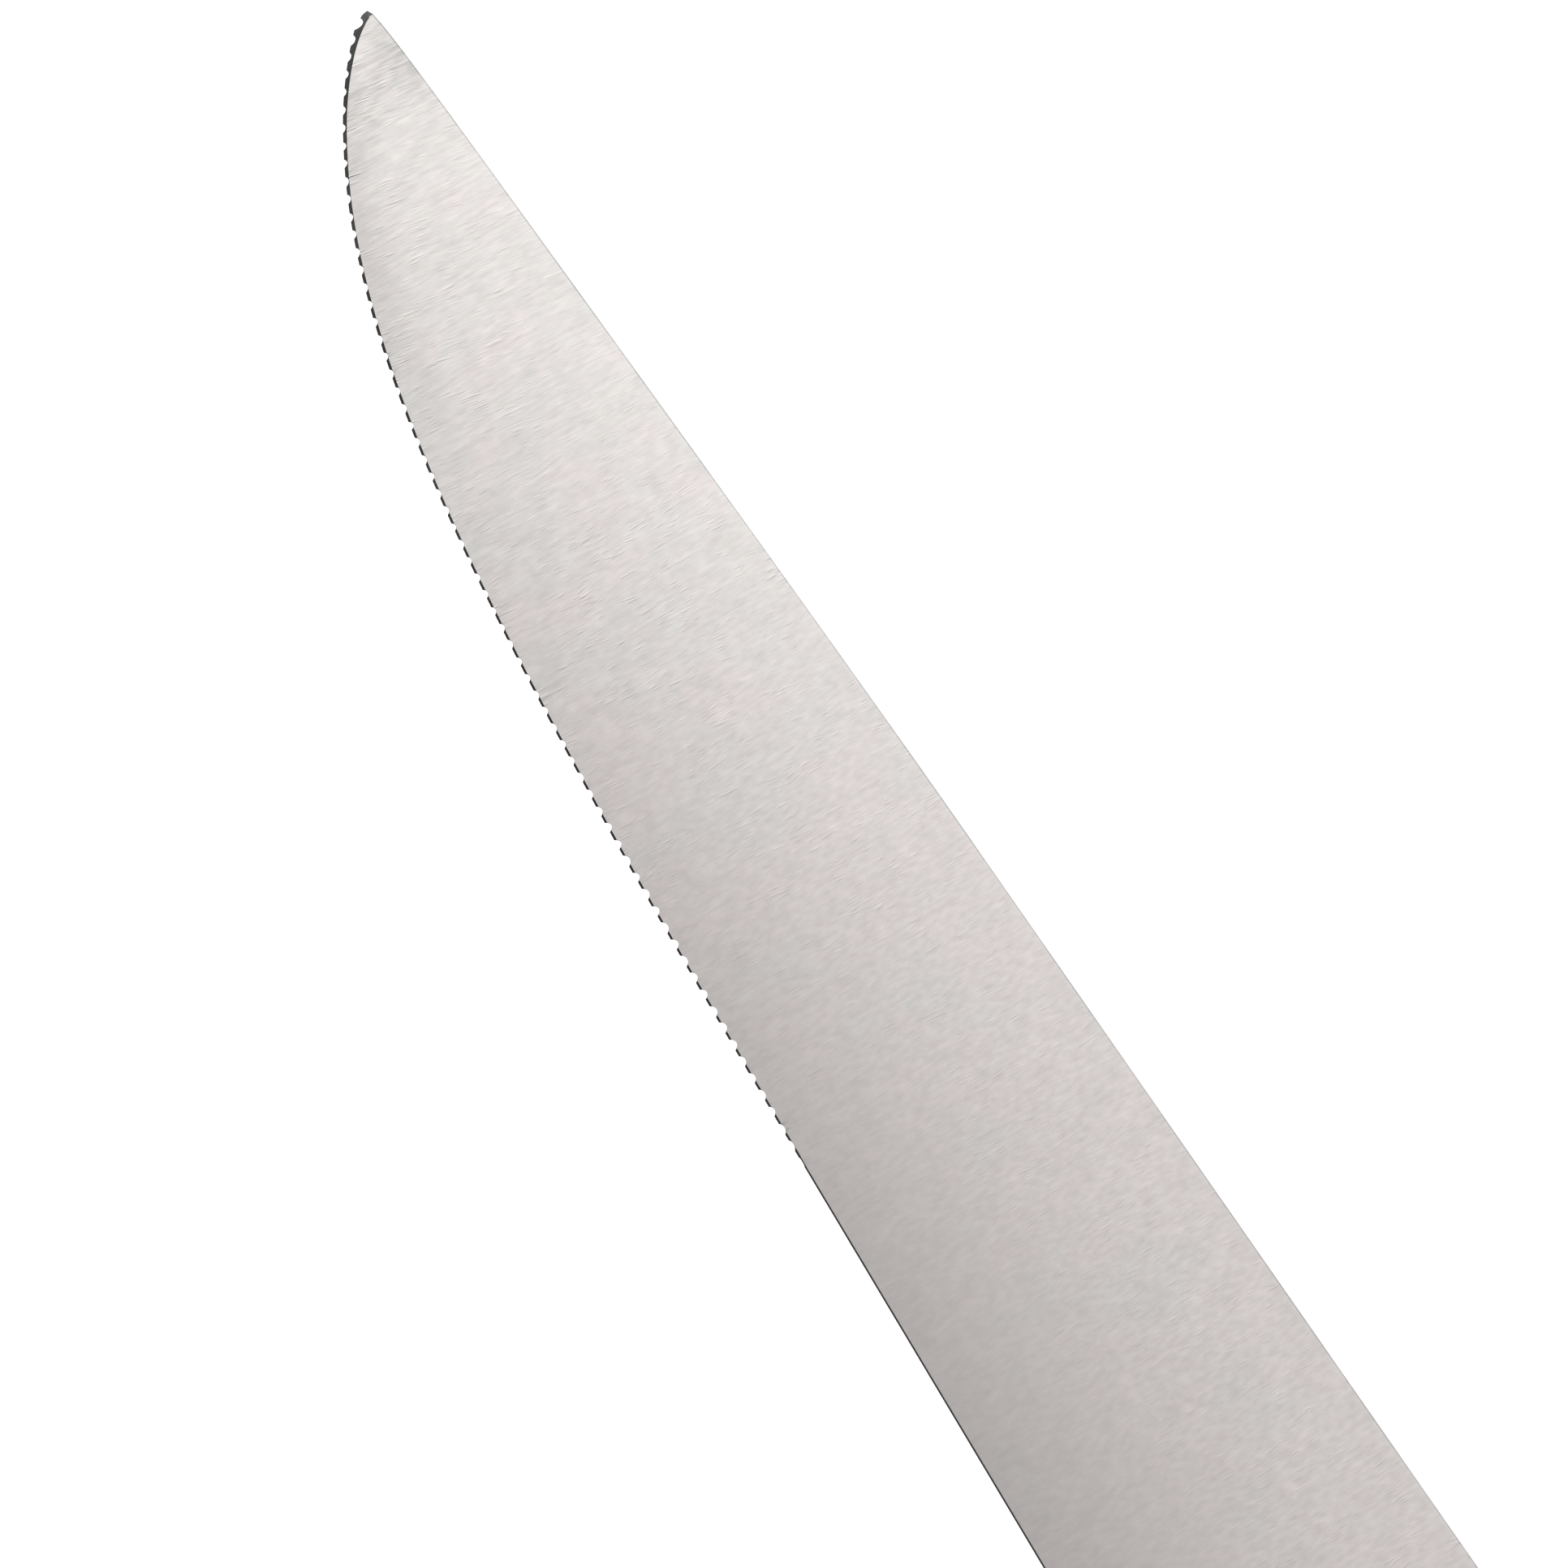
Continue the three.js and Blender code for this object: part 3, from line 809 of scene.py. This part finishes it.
# Wood: painted shade around each rivet head, where it ends in head radii, and its darkest share
SEAT_SHADE_RISE = (1.0, 1.14)
SEAT_SHADE_LEAST = 0.72
FIBRE_ROUGHNESS = 0.16
PORE_ROUGHNESS = 0.12
WOOD_DEPTH = 0.03
WOOD_RELIEF = 0.6
WOOD_SPECULAR = 0.4

# Rivets: their noises, in millimetres, and their strength
SANDING = {"size": (4.0, 0.05, 0.5), "turn": math.radians(4.0), "roughness": 0.6}
CROSS_MARK = {"size": (3.0, 0.07, 0.5), "turn": math.radians(-24.0), "detail": 1.0,
              "offset": (2.0, 6.0, 1.0)}
RIVET_CLOUD = {"size": (1.6, 1.6, 1.6), "offset": (9.0, 4.0, 2.0)}
CROSS_RISE = (0.62, 0.76)
SANDING_SHARE = 0.7
CROSS_SHARE = 0.3
RIVET_TONE = 0.97
RIVET_DARK = 0.34
RIVET_CLOUD_SHARE = 0.16
RIVET_ROUGHNESS = 0.34
RIVET_CLOUD_ROUGHNESS = 0.14
CROSS_HEIGHT = 0.5
RIVET_DEPTH = 0.002

# Floor: its roughness, and the rays that see it white
FLOOR_ROUGHNESS = 0.9
SEEING_RAYS = ("Is Camera Ray", "Is Glossy Ray", "Is Transmission Ray")


class Value:
    """An output of a node, with arithmetic that adds Math nodes to its tree."""

    def __init__(self, tree, socket):
        self.tree = tree
        self.socket = socket

    def math(self, operation, *values):
        """A Math node on these values."""
        return self.tree.add("ShaderNodeMath", {"operation": operation}, dict(enumerate(values)))

    def __add__(self, other):
        return self.math("ADD", self, other)

    __radd__ = __add__

    def __sub__(self, other):
        return self.math("SUBTRACT", self, other)

    def __rsub__(self, other):
        return self.math("SUBTRACT", other, self)

    def __mul__(self, other):
        return self.math("MULTIPLY", self, other)

    __rmul__ = __mul__

    def __truediv__(self, other):
        return self.math("DIVIDE", self, other)

    def __rtruediv__(self, other):
        return self.math("DIVIDE", other, self)

    def rise(self, start, stop):
        """Smooth step of this value from 0 at start to 1 at stop."""
        inputs = {"Value": self, "From Min": start, "From Max": stop}
        return self.tree.add("ShaderNodeMapRange", {"interpolation_type": "SMOOTHSTEP"}, inputs)

    def swing(self, share):
        """This noise about its middle: what it has above one half, times a share."""
        return (self - 0.5) * share

    def above(self, least):
        """This value between 0 and 1, squeezed to lie between a least value and 1."""
        return self * (1.0 - least) + least


class Nodes:
    """The node tree of a material or of the world."""

    def __init__(self, owner):
        owner.use_nodes = True
        self.owner = owner
        self.tree = owner.node_tree
        self.tree.nodes.clear()

    def add(self, kind, settings=None, inputs=None, output=0):
        """One output of a new node: its type, its settings, then its sockets' values or links."""
        node = self.tree.nodes.new(kind)
        for name, setting in (settings or {}).items():
            setattr(node, name, setting)
        for name, value in (inputs or {}).items():
            if isinstance(value, Value):
                self.tree.links.new(value.socket, node.inputs[name])
            else:
                node.inputs[name].default_value = value
        return Value(self, node.outputs[output]) if node.outputs else None

    def place(self):
        """Object coordinates, in metres."""
        return self.add("ShaderNodeTexCoord", output="Object")

    def noise(self, size, turn=0.0, detail=2.0, roughness=0.5, offset=(0.0, 0.0, 0.0)):
        """Noise whose grains have a size in millimetres along each axis, turned about z."""
        settings = {"vector_type": "TEXTURE"}
        inputs = {
            "Vector": self.place(),
            "Location": [step * MM for step in offset],
            "Rotation": (0.0, 0.0, turn),
            "Scale": [grain * MM for grain in size],
        }
        vector = self.add("ShaderNodeMapping", settings, inputs)
        inputs = {"Vector": vector, "Scale": 1.0, "Detail": detail, "Roughness": roughness}
        return self.add("ShaderNodeTexNoise", {"noise_dimensions": "3D"}, inputs)

    def lines(self, grain, detail=2.0, offset=(0.0, 0.0, 0.0), turn=0.0):
        """Noise drawn out along the grinding lines, which are square to the heel edge or turned."""
        across, along = grain
        turn -= math.atan(EDGE_SLOPE)
        return self.noise((across, along, along), turn, detail, offset=offset)

    def split(self, vector):
        """The three components of a vector."""
        node = self.add("ShaderNodeSeparateXYZ", None, {0: vector}).socket.node
        return [Value(self, socket) for socket in node.outputs]

    def blend(self, share, first, second, kind="MIX"):
        """Mix of two colours."""
        settings = {"data_type": "RGBA", "blend_type": kind}
        return self.add("ShaderNodeMix", settings, {0: share, 6: first, 7: second}, output=2)

    def grey(self, value):
        """A colour with this value in all three channels."""
        return self.add("ShaderNodeCombineColor", None, {0: value, 1: value, 2: value})

    def shade(self, tint, value):
        """A colour times a value."""
        return self.blend(1.0, tint, self.grey(value), "MULTIPLY")

    def bump(self, height, distance, strength):
        """Normal from a height between 0 and 1 that is this many millimetres deep."""
        inputs = {"Height": height, "Distance": distance * MM, "Strength": strength}
        return self.add("ShaderNodeBump", None, inputs)

    def surface(self, inputs):
        """The material, closed by its shader, whose sockets get values or links."""
        shader = self.add("ShaderNodeBsdfPrincipled", None, inputs)
        self.add("ShaderNodeOutputMaterial", None, {"Surface": shader})
        return self.owner


def colour(value):
    """A colour of a setting with full alpha."""
    return (*value, 1.0)


def scratches(nodes, grain, turn, place):
    """Clusters of scratches: dark crests of a thin noise, with a bright line beside each.

    Turn is their angle to the grinding lines, and place the offset of their noises.
    """
    here = (place, place, place)
    beside = (place + SCRATCH_GAP, place, place)
    cluster = nodes.lines(CLUSTER_GRAIN, detail=1.0, offset=here).rise(*CLUSTER_RISE)
    dark = nodes.lines(grain, detail=1.0, offset=here, turn=turn).rise(*SCRATCH_RISE)
    light = nodes.lines(grain, detail=1.0, offset=beside, turn=turn).rise(*SCRATCH_RISE)
    return (light * LIGHT_SHARE - dark * DARK_SHARE) * (cluster + STRAY_SHARE)


def finish_steel(name, settings):
    """Steel ground square to the heel edge, with a duller back and a ground edge painted near black as
    shade.

    Fine lines, bands and clouds lie over all of the faces, and a mottling that grows towards the
    heel. The scratches of the tip are turned as its lines are, and are stronger beside the edge.
    Those of the heel are weaker towards the handle. All of it is stronger towards the tip, most
    in a patch of wear behind it, and calmer beside the heel's edge. That patch is also darkened
    as painted shade, most beside the back.
    The colour changes in warm and cool patches with small flecks, warmer towards the heel. At the
    very tip the ground edge is lightened as a painted highlight.
    """
    nodes = Nodes(bpy.data.materials.new(name))
    x, y, _ = nodes.split(nodes.place())
    near = x.rise(*COARSE_REACH)
    tip = x.rise(*TIP_ZONE)
    wear_and_shade = x.rise(*WEAR_AND_SHADE_REACH) - x.rise(*WEAR_AND_SHADE_STOP) * WEAR_AND_SHADE_STOP_SHARE
    calm = x.rise(*CALM_REACH) * y.rise(*CALM_SIDE)
    mark = nodes.add("ShaderNodeAttribute", {"attribute_name": "grind"}, None, "Fac")
    edge = mark.math("MAXIMUM", mark, 0.0)
    back = mark.math("MAXIMUM", mark * -1.0, 0.0)

    line = settings.line_width / MM
    line_grain = (line, LINE_STRETCH * line)
    fine = nodes.lines(line_grain)
    fine = fine + (nodes.lines(line_grain, turn=TIP_TURN) - fine) * tip
    tone = fine.swing(tip * TIP_LINE_SHARE + LINE_SHARE)
    tip_zone = tip * (y.rise(*LEAN_SIDE) * LEAN_GAIN + LEAN_LEAST)
    heel_zone = (1.0 - tip) * (near * HEEL_SCRATCH_GAIN + HEEL_SCRATCH_SHARE)
    for zone, grain, sets in (
        (tip_zone, TIP_SCRATCH_GRAIN, TIP_SCRATCHES),
        (heel_zone, HEEL_SCRATCH_GRAIN, HEEL_SCRATCHES),
    ):
        for turn, place in sets:
            tone = tone + scratches(nodes, grain, turn, place) * zone

    band = nodes.lines(BAND_GRAIN, detail=3.0)
    mottle = nodes.lines(MOTTLE_GRAIN, detail=3.0)
    soft = mottle.swing(MOTTLE_SHARE - near * (MOTTLE_SHARE - TIP_MOTTLE_SHARE))
    soft = soft + band.swing(near * TIP_BAND_SHARE + BAND_SHARE)
    soft = soft + nodes.lines(CLOUD_GRAIN).swing(CLOUD_SHARE)
    tone = tone * (1.0 - calm * CALM_SHARE) + soft * (1.0 - calm * SOFT_CALM_SHARE)
    tone = tone * settings.line_contrast * (near * COARSE_GAIN + wear_and_shade * WORN_GAIN + 1.0)
    # Painted shade: the steel is darkened in the patch behind the tip, most beside the back.
    tip_shade = wear_and_shade * (TIP_SHADE_DEPTH - y.rise(*TIP_SHADE_SIDE) * TIP_SHADE_LEAN)
    # Painted highlight: the ground edge is lightened at the very tip.
    bright = (1.0 + tone) * (1.0 - tip_shade) * (1.0 + edge * x.rise(*NOSE_HIGHLIGHT_REACH) * NOSE_HIGHLIGHT_GAIN)

    tint = (nodes.lines(TINT_GRAIN, detail=1.0) + (0.5 - near) * TINT_LEAN).rise(*TINT_RISE)
    tint = tint.swing(TINT_SHARE) + nodes.lines(FLECK_GRAIN).swing(FLECK_SHARE) + 0.5
    face = nodes.blend(tint, colour(settings.steel_cool), colour(settings.steel_warm))
    back = back * nodes.noise(BACK_GRAIN).rise(*BACK_RISE).above(BACK_LEAST)
    face = nodes.blend(back, face, colour(settings.back_colour))
    # Painted shade: the ground edge gets a near-black colour in place of the dark reflection it shows.
    face = nodes.blend(edge, face, colour(settings.edge_shade_colour))
    return nodes.surface({
        "Base Color": nodes.shade(face, bright),
        "Metallic": 1.0,
        "Roughness": settings.roughness + band.swing(BAND_ROUGHNESS) - edge * EDGE_SMOOTHNESS,
        "Normal": nodes.bump(fine, settings.line_depth / MM, 1.0),
    })


def finish_wood(name, settings):
    """Oiled fruit wood: growth rings about a far axis, fibres and pores along the handle.

    Each ring darkens slowly and ends sharply, with a strength of its own. Faces across the
    fibres are darker, and the wood around each rivet head is darkened as painted shade.
    """
    nodes = Nodes(bpy.data.materials.new(name))
    x, y, z = nodes.split(nodes.place())
    sway = nodes.noise(**RING_SWAY).swing(SWAY_WIDTH)
    across = y / MM + HEART_ACROSS + sway + x / MM * HEART_SLOPE
    deep = z / MM + HEART_DEEP + nodes.noise(**RING_RIPPLE).swing(RIPPLE_WIDTH)
    radius = across.math("SQRT", across * across + deep * deep * RING_OVAL)
    turns = radius / (settings.ring_width / MM)
    ring = turns.math("FRACT", turns)
    year = turns.math("FLOOR", turns)
    strength = nodes.add("ShaderNodeTexWhiteNoise", {"noise_dimensions": "1D"}, {"W": year})
    late = ring.rise(*LATE_RISE) * (1.0 - ring.rise(*LATE_FALL)) * strength.above(LATE_LEAST)
    fibre = nodes.noise(**FIBRE)
    pore = nodes.noise(**PORE).rise(*PORE_RISE)
    cloud = nodes.noise(**WOOD_CLOUD)
    tone = late * LATE_SHARE + fibre.swing(FIBRE_SHARE) + cloud.swing(WOOD_CLOUD_SHARE) + WOOD_TONE
    wood = nodes.blend(tone.rise(0.0, 1.0), colour(settings.wood_light), colour(settings.wood_dark))
    lengthwise, _, _ = nodes.split(nodes.add("ShaderNodeNewGeometry", None, None, "Normal"))
    end_grain = lengthwise.math("ABSOLUTE", lengthwise).rise(*END_GRAIN_RISE)
    bright = (1.0 - pore * PORE_DARK) * (1.0 - end_grain * END_GRAIN_DARK)
    # Painted shade: the wood is darkened in a ring around each rivet head.
    for centre in rivet_centres() + DRAWING_ORIGIN[:2]:
        dx = x - centre[0] * MM
        dy = y - centre[1] * MM
        reach = dx.math("SQRT", dx * dx + dy * dy) / (RIVET_HEAD_RADIUS * MM)
        bright = bright * reach.rise(*SEAT_SHADE_RISE).above(SEAT_SHADE_LEAST)
    return nodes.surface({
        "Base Color": nodes.shade(wood, bright),
        "Roughness": settings.wood_roughness + fibre.swing(FIBRE_ROUGHNESS) + pore * PORE_ROUGHNESS,
        "Normal": nodes.bump((fibre - pore) * 0.5, WOOD_DEPTH, WOOD_RELIEF),
        "Specular IOR Level": WOOD_SPECULAR,
    })


def finish_aluminium(name, settings):
    """Sanded aluminium: fine scratches along the handle, a few deeper ones across them."""
    nodes = Nodes(bpy.data.materials.new(name))
    along = nodes.noise(**SANDING)
    cross = nodes.noise(**CROSS_MARK).rise(*CROSS_RISE)
    cloud = nodes.noise(**RIVET_CLOUD)
    dark = (along.swing(SANDING_SHARE) + cross * CROSS_SHARE) * RIVET_DARK
    bright = RIVET_TONE - dark + cloud.swing(RIVET_CLOUD_SHARE)
    return nodes.surface({
        "Base Color": nodes.shade(colour(settings.rivet_colour), bright),
        "Metallic": 1.0,
        "Roughness": RIVET_ROUGHNESS + cloud.swing(RIVET_CLOUD_ROUGHNESS),
        "Normal": nodes.bump(along * SANDING_SHARE - cross * CROSS_HEIGHT, RIVET_DEPTH, 1.0),
    })


def finish_floor(name, settings):
    """Pale floor that shows white where it is seen, and keeps the object's shadow."""
    nodes = Nodes(bpy.data.materials.new(name))
    path = nodes.add("ShaderNodeLightPath").socket.node.outputs
    camera, glossy, through = (Value(nodes, path[ray]) for ray in SEEING_RAYS)
    seen = camera.math("MINIMUM", camera + glossy + through, 1.0)
    return nodes.surface({
        "Base Color": colour(settings.floor_colour),
        "Roughness": FLOOR_ROUGHNESS,
        "Specular IOR Level": 0.0,
        "Emission Color": nodes.grey(seen),
        "Emission Strength": settings.floor_glow,
    })


# Settings

class KnifeBladeSettings(bpy.types.PropertyGroup):
    """Teeth and finish of the blade."""

    tooth_pitch: FloatProperty(
        name="Tooth pitch", description="Distance from tooth to tooth",
        default=0.001103, min=0.0006, max=0.004, precision=6, unit="LENGTH")
    notch_depth: FloatProperty(
        name="Notch depth", description="Depth of the notches between the teeth",
        default=0.00019, min=0.00005, max=0.0005, precision=6, unit="LENGTH")
    line_width: FloatProperty(
        name="Line width", description="Width of the finest grinding lines",
        default=0.00007, min=0.00002, max=0.0005, precision=6, unit="LENGTH")
    line_depth: FloatProperty(
        name="Line depth", description="Depth of the grinding lines",
        default=0.0000006, min=0.0, max=0.00005, precision=7, unit="LENGTH")
    line_contrast: FloatProperty(
        name="Line contrast", description="How much the grinding lines change the steel's tone",
        default=0.4, min=0.0, max=1.0, subtype="FACTOR")
    roughness: FloatProperty(
        name="Roughness", description="Roughness of the ground faces",
        default=0.34, min=0.05, max=1.0, subtype="FACTOR")
    steel_warm: FloatVectorProperty(
        name="Warm steel", description="Colour of the steel in its warmer patches",
        default=(0.752, 0.7, 0.6915), min=0.0, max=1.0, subtype="COLOR")
    steel_cool: FloatVectorProperty(
        name="Cool steel", description="Colour of the steel in its cooler patches",
        default=(0.724, 0.7045, 0.6815), min=0.0, max=1.0, subtype="COLOR")
    back_colour: FloatVectorProperty(
        name="Back", description="Colour of the narrow back and of the tang's rim",
        default=(0.5, 0.5, 0.49), min=0.0, max=1.0, subtype="COLOR")
    # Painted shade: near-black colour of the ground edge, in place of its dark reflection.
    edge_shade_colour: FloatVectorProperty(
        name="Edge", description="Colour of the ground edge",
        default=(0.064, 0.063, 0.062), min=0.0, max=1.0, subtype="COLOR")


class KnifeHandleSettings(bpy.types.PropertyGroup):
    """Finish of the scales and rivets."""

    wood_light: FloatVectorProperty(
        name="Early wood", description="Colour of the wood between the dark growth rings",
        default=(0.46, 0.2, 0.088), min=0.0, max=1.0, subtype="COLOR")
    wood_dark: FloatVectorProperty(
        name="Late wood", description="Colour of the dark growth rings",
        default=(0.235, 0.085, 0.035), min=0.0, max=1.0, subtype="COLOR")
    ring_width: FloatProperty(
        name="Ring width", description="Distance between growth rings",
        default=0.0021, min=0.0005, max=0.02, precision=5, unit="LENGTH")
    wood_roughness: FloatProperty(
        name="Wood roughness", description="Roughness of the oiled wood",
        default=0.46, min=0.05, max=1.0, subtype="FACTOR")
    rivet_colour: FloatVectorProperty(
        name="Rivets", description="Colour of the aluminium rivets",
        default=(0.78, 0.78, 0.79), min=0.0, max=1.0, subtype="COLOR")


class KnifeStageSettings(bpy.types.PropertyGroup):
    """Floor, light and camera."""

    floor_colour: FloatVectorProperty(
        name="Floor", description="Colour of the floor and its curved border",
        default=(0.8, 0.8, 0.8), min=0.0, max=1.0, subtype="COLOR")
    floor_glow: FloatProperty(
        name="Floor glow", description="Share of white that the seen floor has without light",
        default=0.72, min=0.0, max=1.0, subtype="FACTOR")
    floor_radius: FloatProperty(
        name="Floor radius", description="Radius of the level floor",
        default=2.5, min=0.5, max=20.0, unit="LENGTH")
    tip_light: FloatProperty(
        name="Tip light", description="Power of the soft light above the tip",
        default=3.1, min=0.0, max=500.0, unit="POWER")
    handle_light: FloatProperty(
        name="Handle light", description="Power of the soft light above the handle",
        default=1.47, min=0.0, max=500.0, unit="POWER")
    world_level: FloatProperty(
        name="Surroundings", description="Brightness of the grey surroundings overhead",
        default=0.28, min=0.0, max=2.0)
    horizon_level: FloatProperty(
        name="Horizon", description="Brightness of the grey surroundings at the horizon",
        default=0.8, min=0.0, max=2.0)
    lens: FloatProperty(
        name="Lens", description="Focal length on a 36 mm sensor",
        default=121.1, min=20.0, max=400.0, unit="CAMERA")
    tilt: FloatProperty(
        name="Tilt", description="Angle between the view and the upright",
        default=math.radians(13.5), min=0.0, max=1.5, subtype="ANGLE")
    turn: FloatProperty(
        name="Turn", description="Angle of the blade in the picture, from upright to the left",
        default=math.radians(33.827), min=-3.2, max=3.2, subtype="ANGLE")
    distance: FloatProperty(
        name="Distance", description="Camera to the point that it looks at",
        default=0.2986, min=0.05, max=5.0, precision=4, unit="LENGTH")


# Operators

class KNIFE_OT_blade(bpy.types.Operator):
    """Make the toothed blade with its tang"""

    bl_idname = "knife.blade"
    bl_label = "Blade"

    def execute(self, context):
        settings = context.scene.knife_blade
        mesh = blade_mesh("toothed_blade", settings.tooth_pitch / MM, settings.notch_depth / MM)
        add_piece(mesh, finish_steel("ground_steel", settings), "blade")
        return {"FINISHED"}


class KNIFE_OT_scales(bpy.types.Operator):
    """Make the two wooden scales"""

    bl_idname = "knife.scales"
    bl_label = "Scales"

    def execute(self, context):
        material = finish_wood("oiled_wood", context.scene.knife_handle)
        for name, side in (("front", 1.0), ("back", -1.0)):
            mesh = scale_mesh(f"wooden_scale_{name}", side)
            add_piece(mesh, material, f"scale_{name}")
        return {"FINISHED"}


class KNIFE_OT_rivets(bpy.types.Operator):
    """Make the three rivets, each a headed pin in a headed tube"""

    bl_idname = "knife.rivets"
    bl_label = "Rivets"

    def execute(self, context):
        material = finish_aluminium("sanded_aluminium", context.scene.knife_handle)
        for place, centre in zip(RIVET_NAMES, rivet_centres()):
            for kind, profile in (("post", pin_profile()), ("socket", socket_profile())):
                mesh = turned_mesh(f"turned_{place}_{kind}", profile, [centre])
                add_piece(mesh, material, f"rivet_{place}_{kind}")
        return {"FINISHED"}


# Stage sizes, in metres, and the point that the camera looks at, in the drawing frame
FLOOR_GAP = 0.00002
COVE_RADIUS = 0.6
WALL_HEIGHT = 0.75
STAGE_TURNS = 128
COVE_STEPS = 16
VIEW_POINT = (-52.33, 5.78, 0.3)
LIGHT_SIZE = (0.9, 0.86)
LIGHT_MEETING = (0.2, -0.428, 0.62)
HORIZON_RISE = (0.25, 0.85)


class KNIFE_OT_stage(bpy.types.Operator):
    """Make the floor with its curved border, the light, the surroundings and the camera"""

    bl_idname = "knife.stage"
    bl_label = "Stage"

    def execute(self, context):
        settings = context.scene.knife_stage
        self.make_floor(settings)
        self.make_light(context.scene, settings)
        self.make_camera(context.scene, settings)
        context.scene.view_settings.view_transform = "Standard"
        return {"FINISHED"}

    def make_floor(self, settings):
        """Level disc, a quarter circle up from its border and a short wall, turned about z."""
        angle = quarter(COVE_STEPS)
        radius = np.concatenate([[0.0], settings.floor_radius + COVE_RADIUS * np.sin(angle)])
        height = np.concatenate([[0.0], COVE_RADIUS * (1.0 - np.cos(angle))])
        radius = np.append(radius, radius[-1])
        height = np.append(height, WALL_HEIGHT) - FLOOR_GAP
        turn = np.linspace(0.0, 2.0 * math.pi, STAGE_TURNS, endpoint=False)
        x = radius[:, None] * np.cos(turn)
        y = radius[:, None] * np.sin(turn)
        points = np.stack([x, y, np.broadcast_to(height[:, None], x.shape)], axis=-1) / MM
        faces = grid_faces(*x.shape)[..., ::-1]
        mesh = make_mesh("floor", points - DRAWING_ORIGIN, faces)
        mesh.shade_smooth()
        mesh.materials.append(finish_floor("pale_floor", settings))
        floor = bpy.data.objects.new("floor", mesh)
        bpy.context.scene.collection.objects.link(floor)

    def make_light(self, scene, settings):
        """Two large soft lights side by side above the back of the blade, and grey surroundings."""
        for name, side in (("tip_light", 0.5), ("handle_light", -0.5)):
            lamp = bpy.data.lights.new(name, "AREA")
            lamp.shape = "RECTANGLE"
            lamp.size, lamp.size_y = LIGHT_SIZE
            lamp.energy = getattr(settings, name)
            light = bpy.data.objects.new(name, lamp)
            light.location = Vector(LIGHT_MEETING) + Vector((side * LIGHT_SIZE[0], 0.0, 0.0))
            scene.collection.objects.link(light)
        world = bpy.data.worlds.new("grey_room")
        nodes = Nodes(world)
        _, _, up = nodes.split(nodes.add("ShaderNodeTexCoord", None, None, "Generated"))
        level = up.rise(*HORIZON_RISE) * (settings.world_level - settings.horizon_level)
        sky = nodes.grey(level + settings.horizon_level)
        background = nodes.add("ShaderNodeBackground", None, {"Color": sky})
        nodes.add("ShaderNodeOutputWorld", None, {"Surface": background})
        scene.world = world

    def make_camera(self, scene, settings):
        """Camera above the blade: tilted, turned, and looking at a point of the front face."""
        data = bpy.data.cameras.new("camera")
        data.lens = settings.lens
        camera = bpy.data.objects.new("camera", data)
        scene.collection.objects.link(camera)
        sine, cosine = math.sin(settings.turn), math.cos(settings.turn)
        right = Vector((-sine, -cosine, 0.0))
        ahead = Vector((cosine, -sine, 0.0))
        up = ahead * math.cos(settings.tilt) + Vector((0.0, 0.0, math.sin(settings.tilt)))
        behind = right.cross(up)
        target = Vector((DRAWING_ORIGIN + np.array(VIEW_POINT)) * MM)
        matrix = Matrix((right, up, behind)).transposed().to_4x4()
        matrix.translation = target + behind * settings.distance
        camera.matrix_world = matrix
        scene.camera = camera


class KNIFE_PT_panel(bpy.types.Panel):
    """Settings and steps of the knife"""

    bl_idname = "KNIFE_PT_panel"
    bl_label = "Snack knife"
    bl_space_type = "VIEW_3D"
    bl_region_type = "UI"
    bl_category = "Knife"

    def draw(self, context):
        scene = context.scene
        for settings, operators in (
            (scene.knife_blade, (KNIFE_OT_blade,)),
            (scene.knife_handle, (KNIFE_OT_scales, KNIFE_OT_rivets)),
            (scene.knife_stage, (KNIFE_OT_stage,)),
        ):
            column = self.layout.box().column()
            for name in settings.__annotations__:
                column.prop(settings, name)
            for operator in operators:
                column.operator(operator.bl_idname)


CLASSES = (
    KnifeBladeSettings,
    KnifeHandleSettings,
    KnifeStageSettings,
    KNIFE_OT_blade,
    KNIFE_OT_scales,
    KNIFE_OT_rivets,
    KNIFE_OT_stage,
    KNIFE_PT_panel,
)


def register():
    """Register the classes and hang the settings on the scene."""
    for item in CLASSES:
        bpy.utils.register_class(item)
    bpy.types.Scene.knife_blade = PointerProperty(type=KnifeBladeSettings)
    bpy.types.Scene.knife_handle = PointerProperty(type=KnifeHandleSettings)
    bpy.types.Scene.knife_stage = PointerProperty(type=KnifeStageSettings)


def unregister():
    """Take the settings off the scene and unregister the classes."""
    del bpy.types.Scene.knife_blade
    del bpy.types.Scene.knife_handle
    del bpy.types.Scene.knife_stage
    for item in reversed(CLASSES):
        bpy.utils.unregister_class(item)


def main():
    """Build the knife and its stage."""
    register()
    bpy.ops.knife.blade()
    bpy.ops.knife.scales()
    bpy.ops.knife.rivets()
    bpy.ops.knife.stage()


if __name__ == "__main__":
    main()
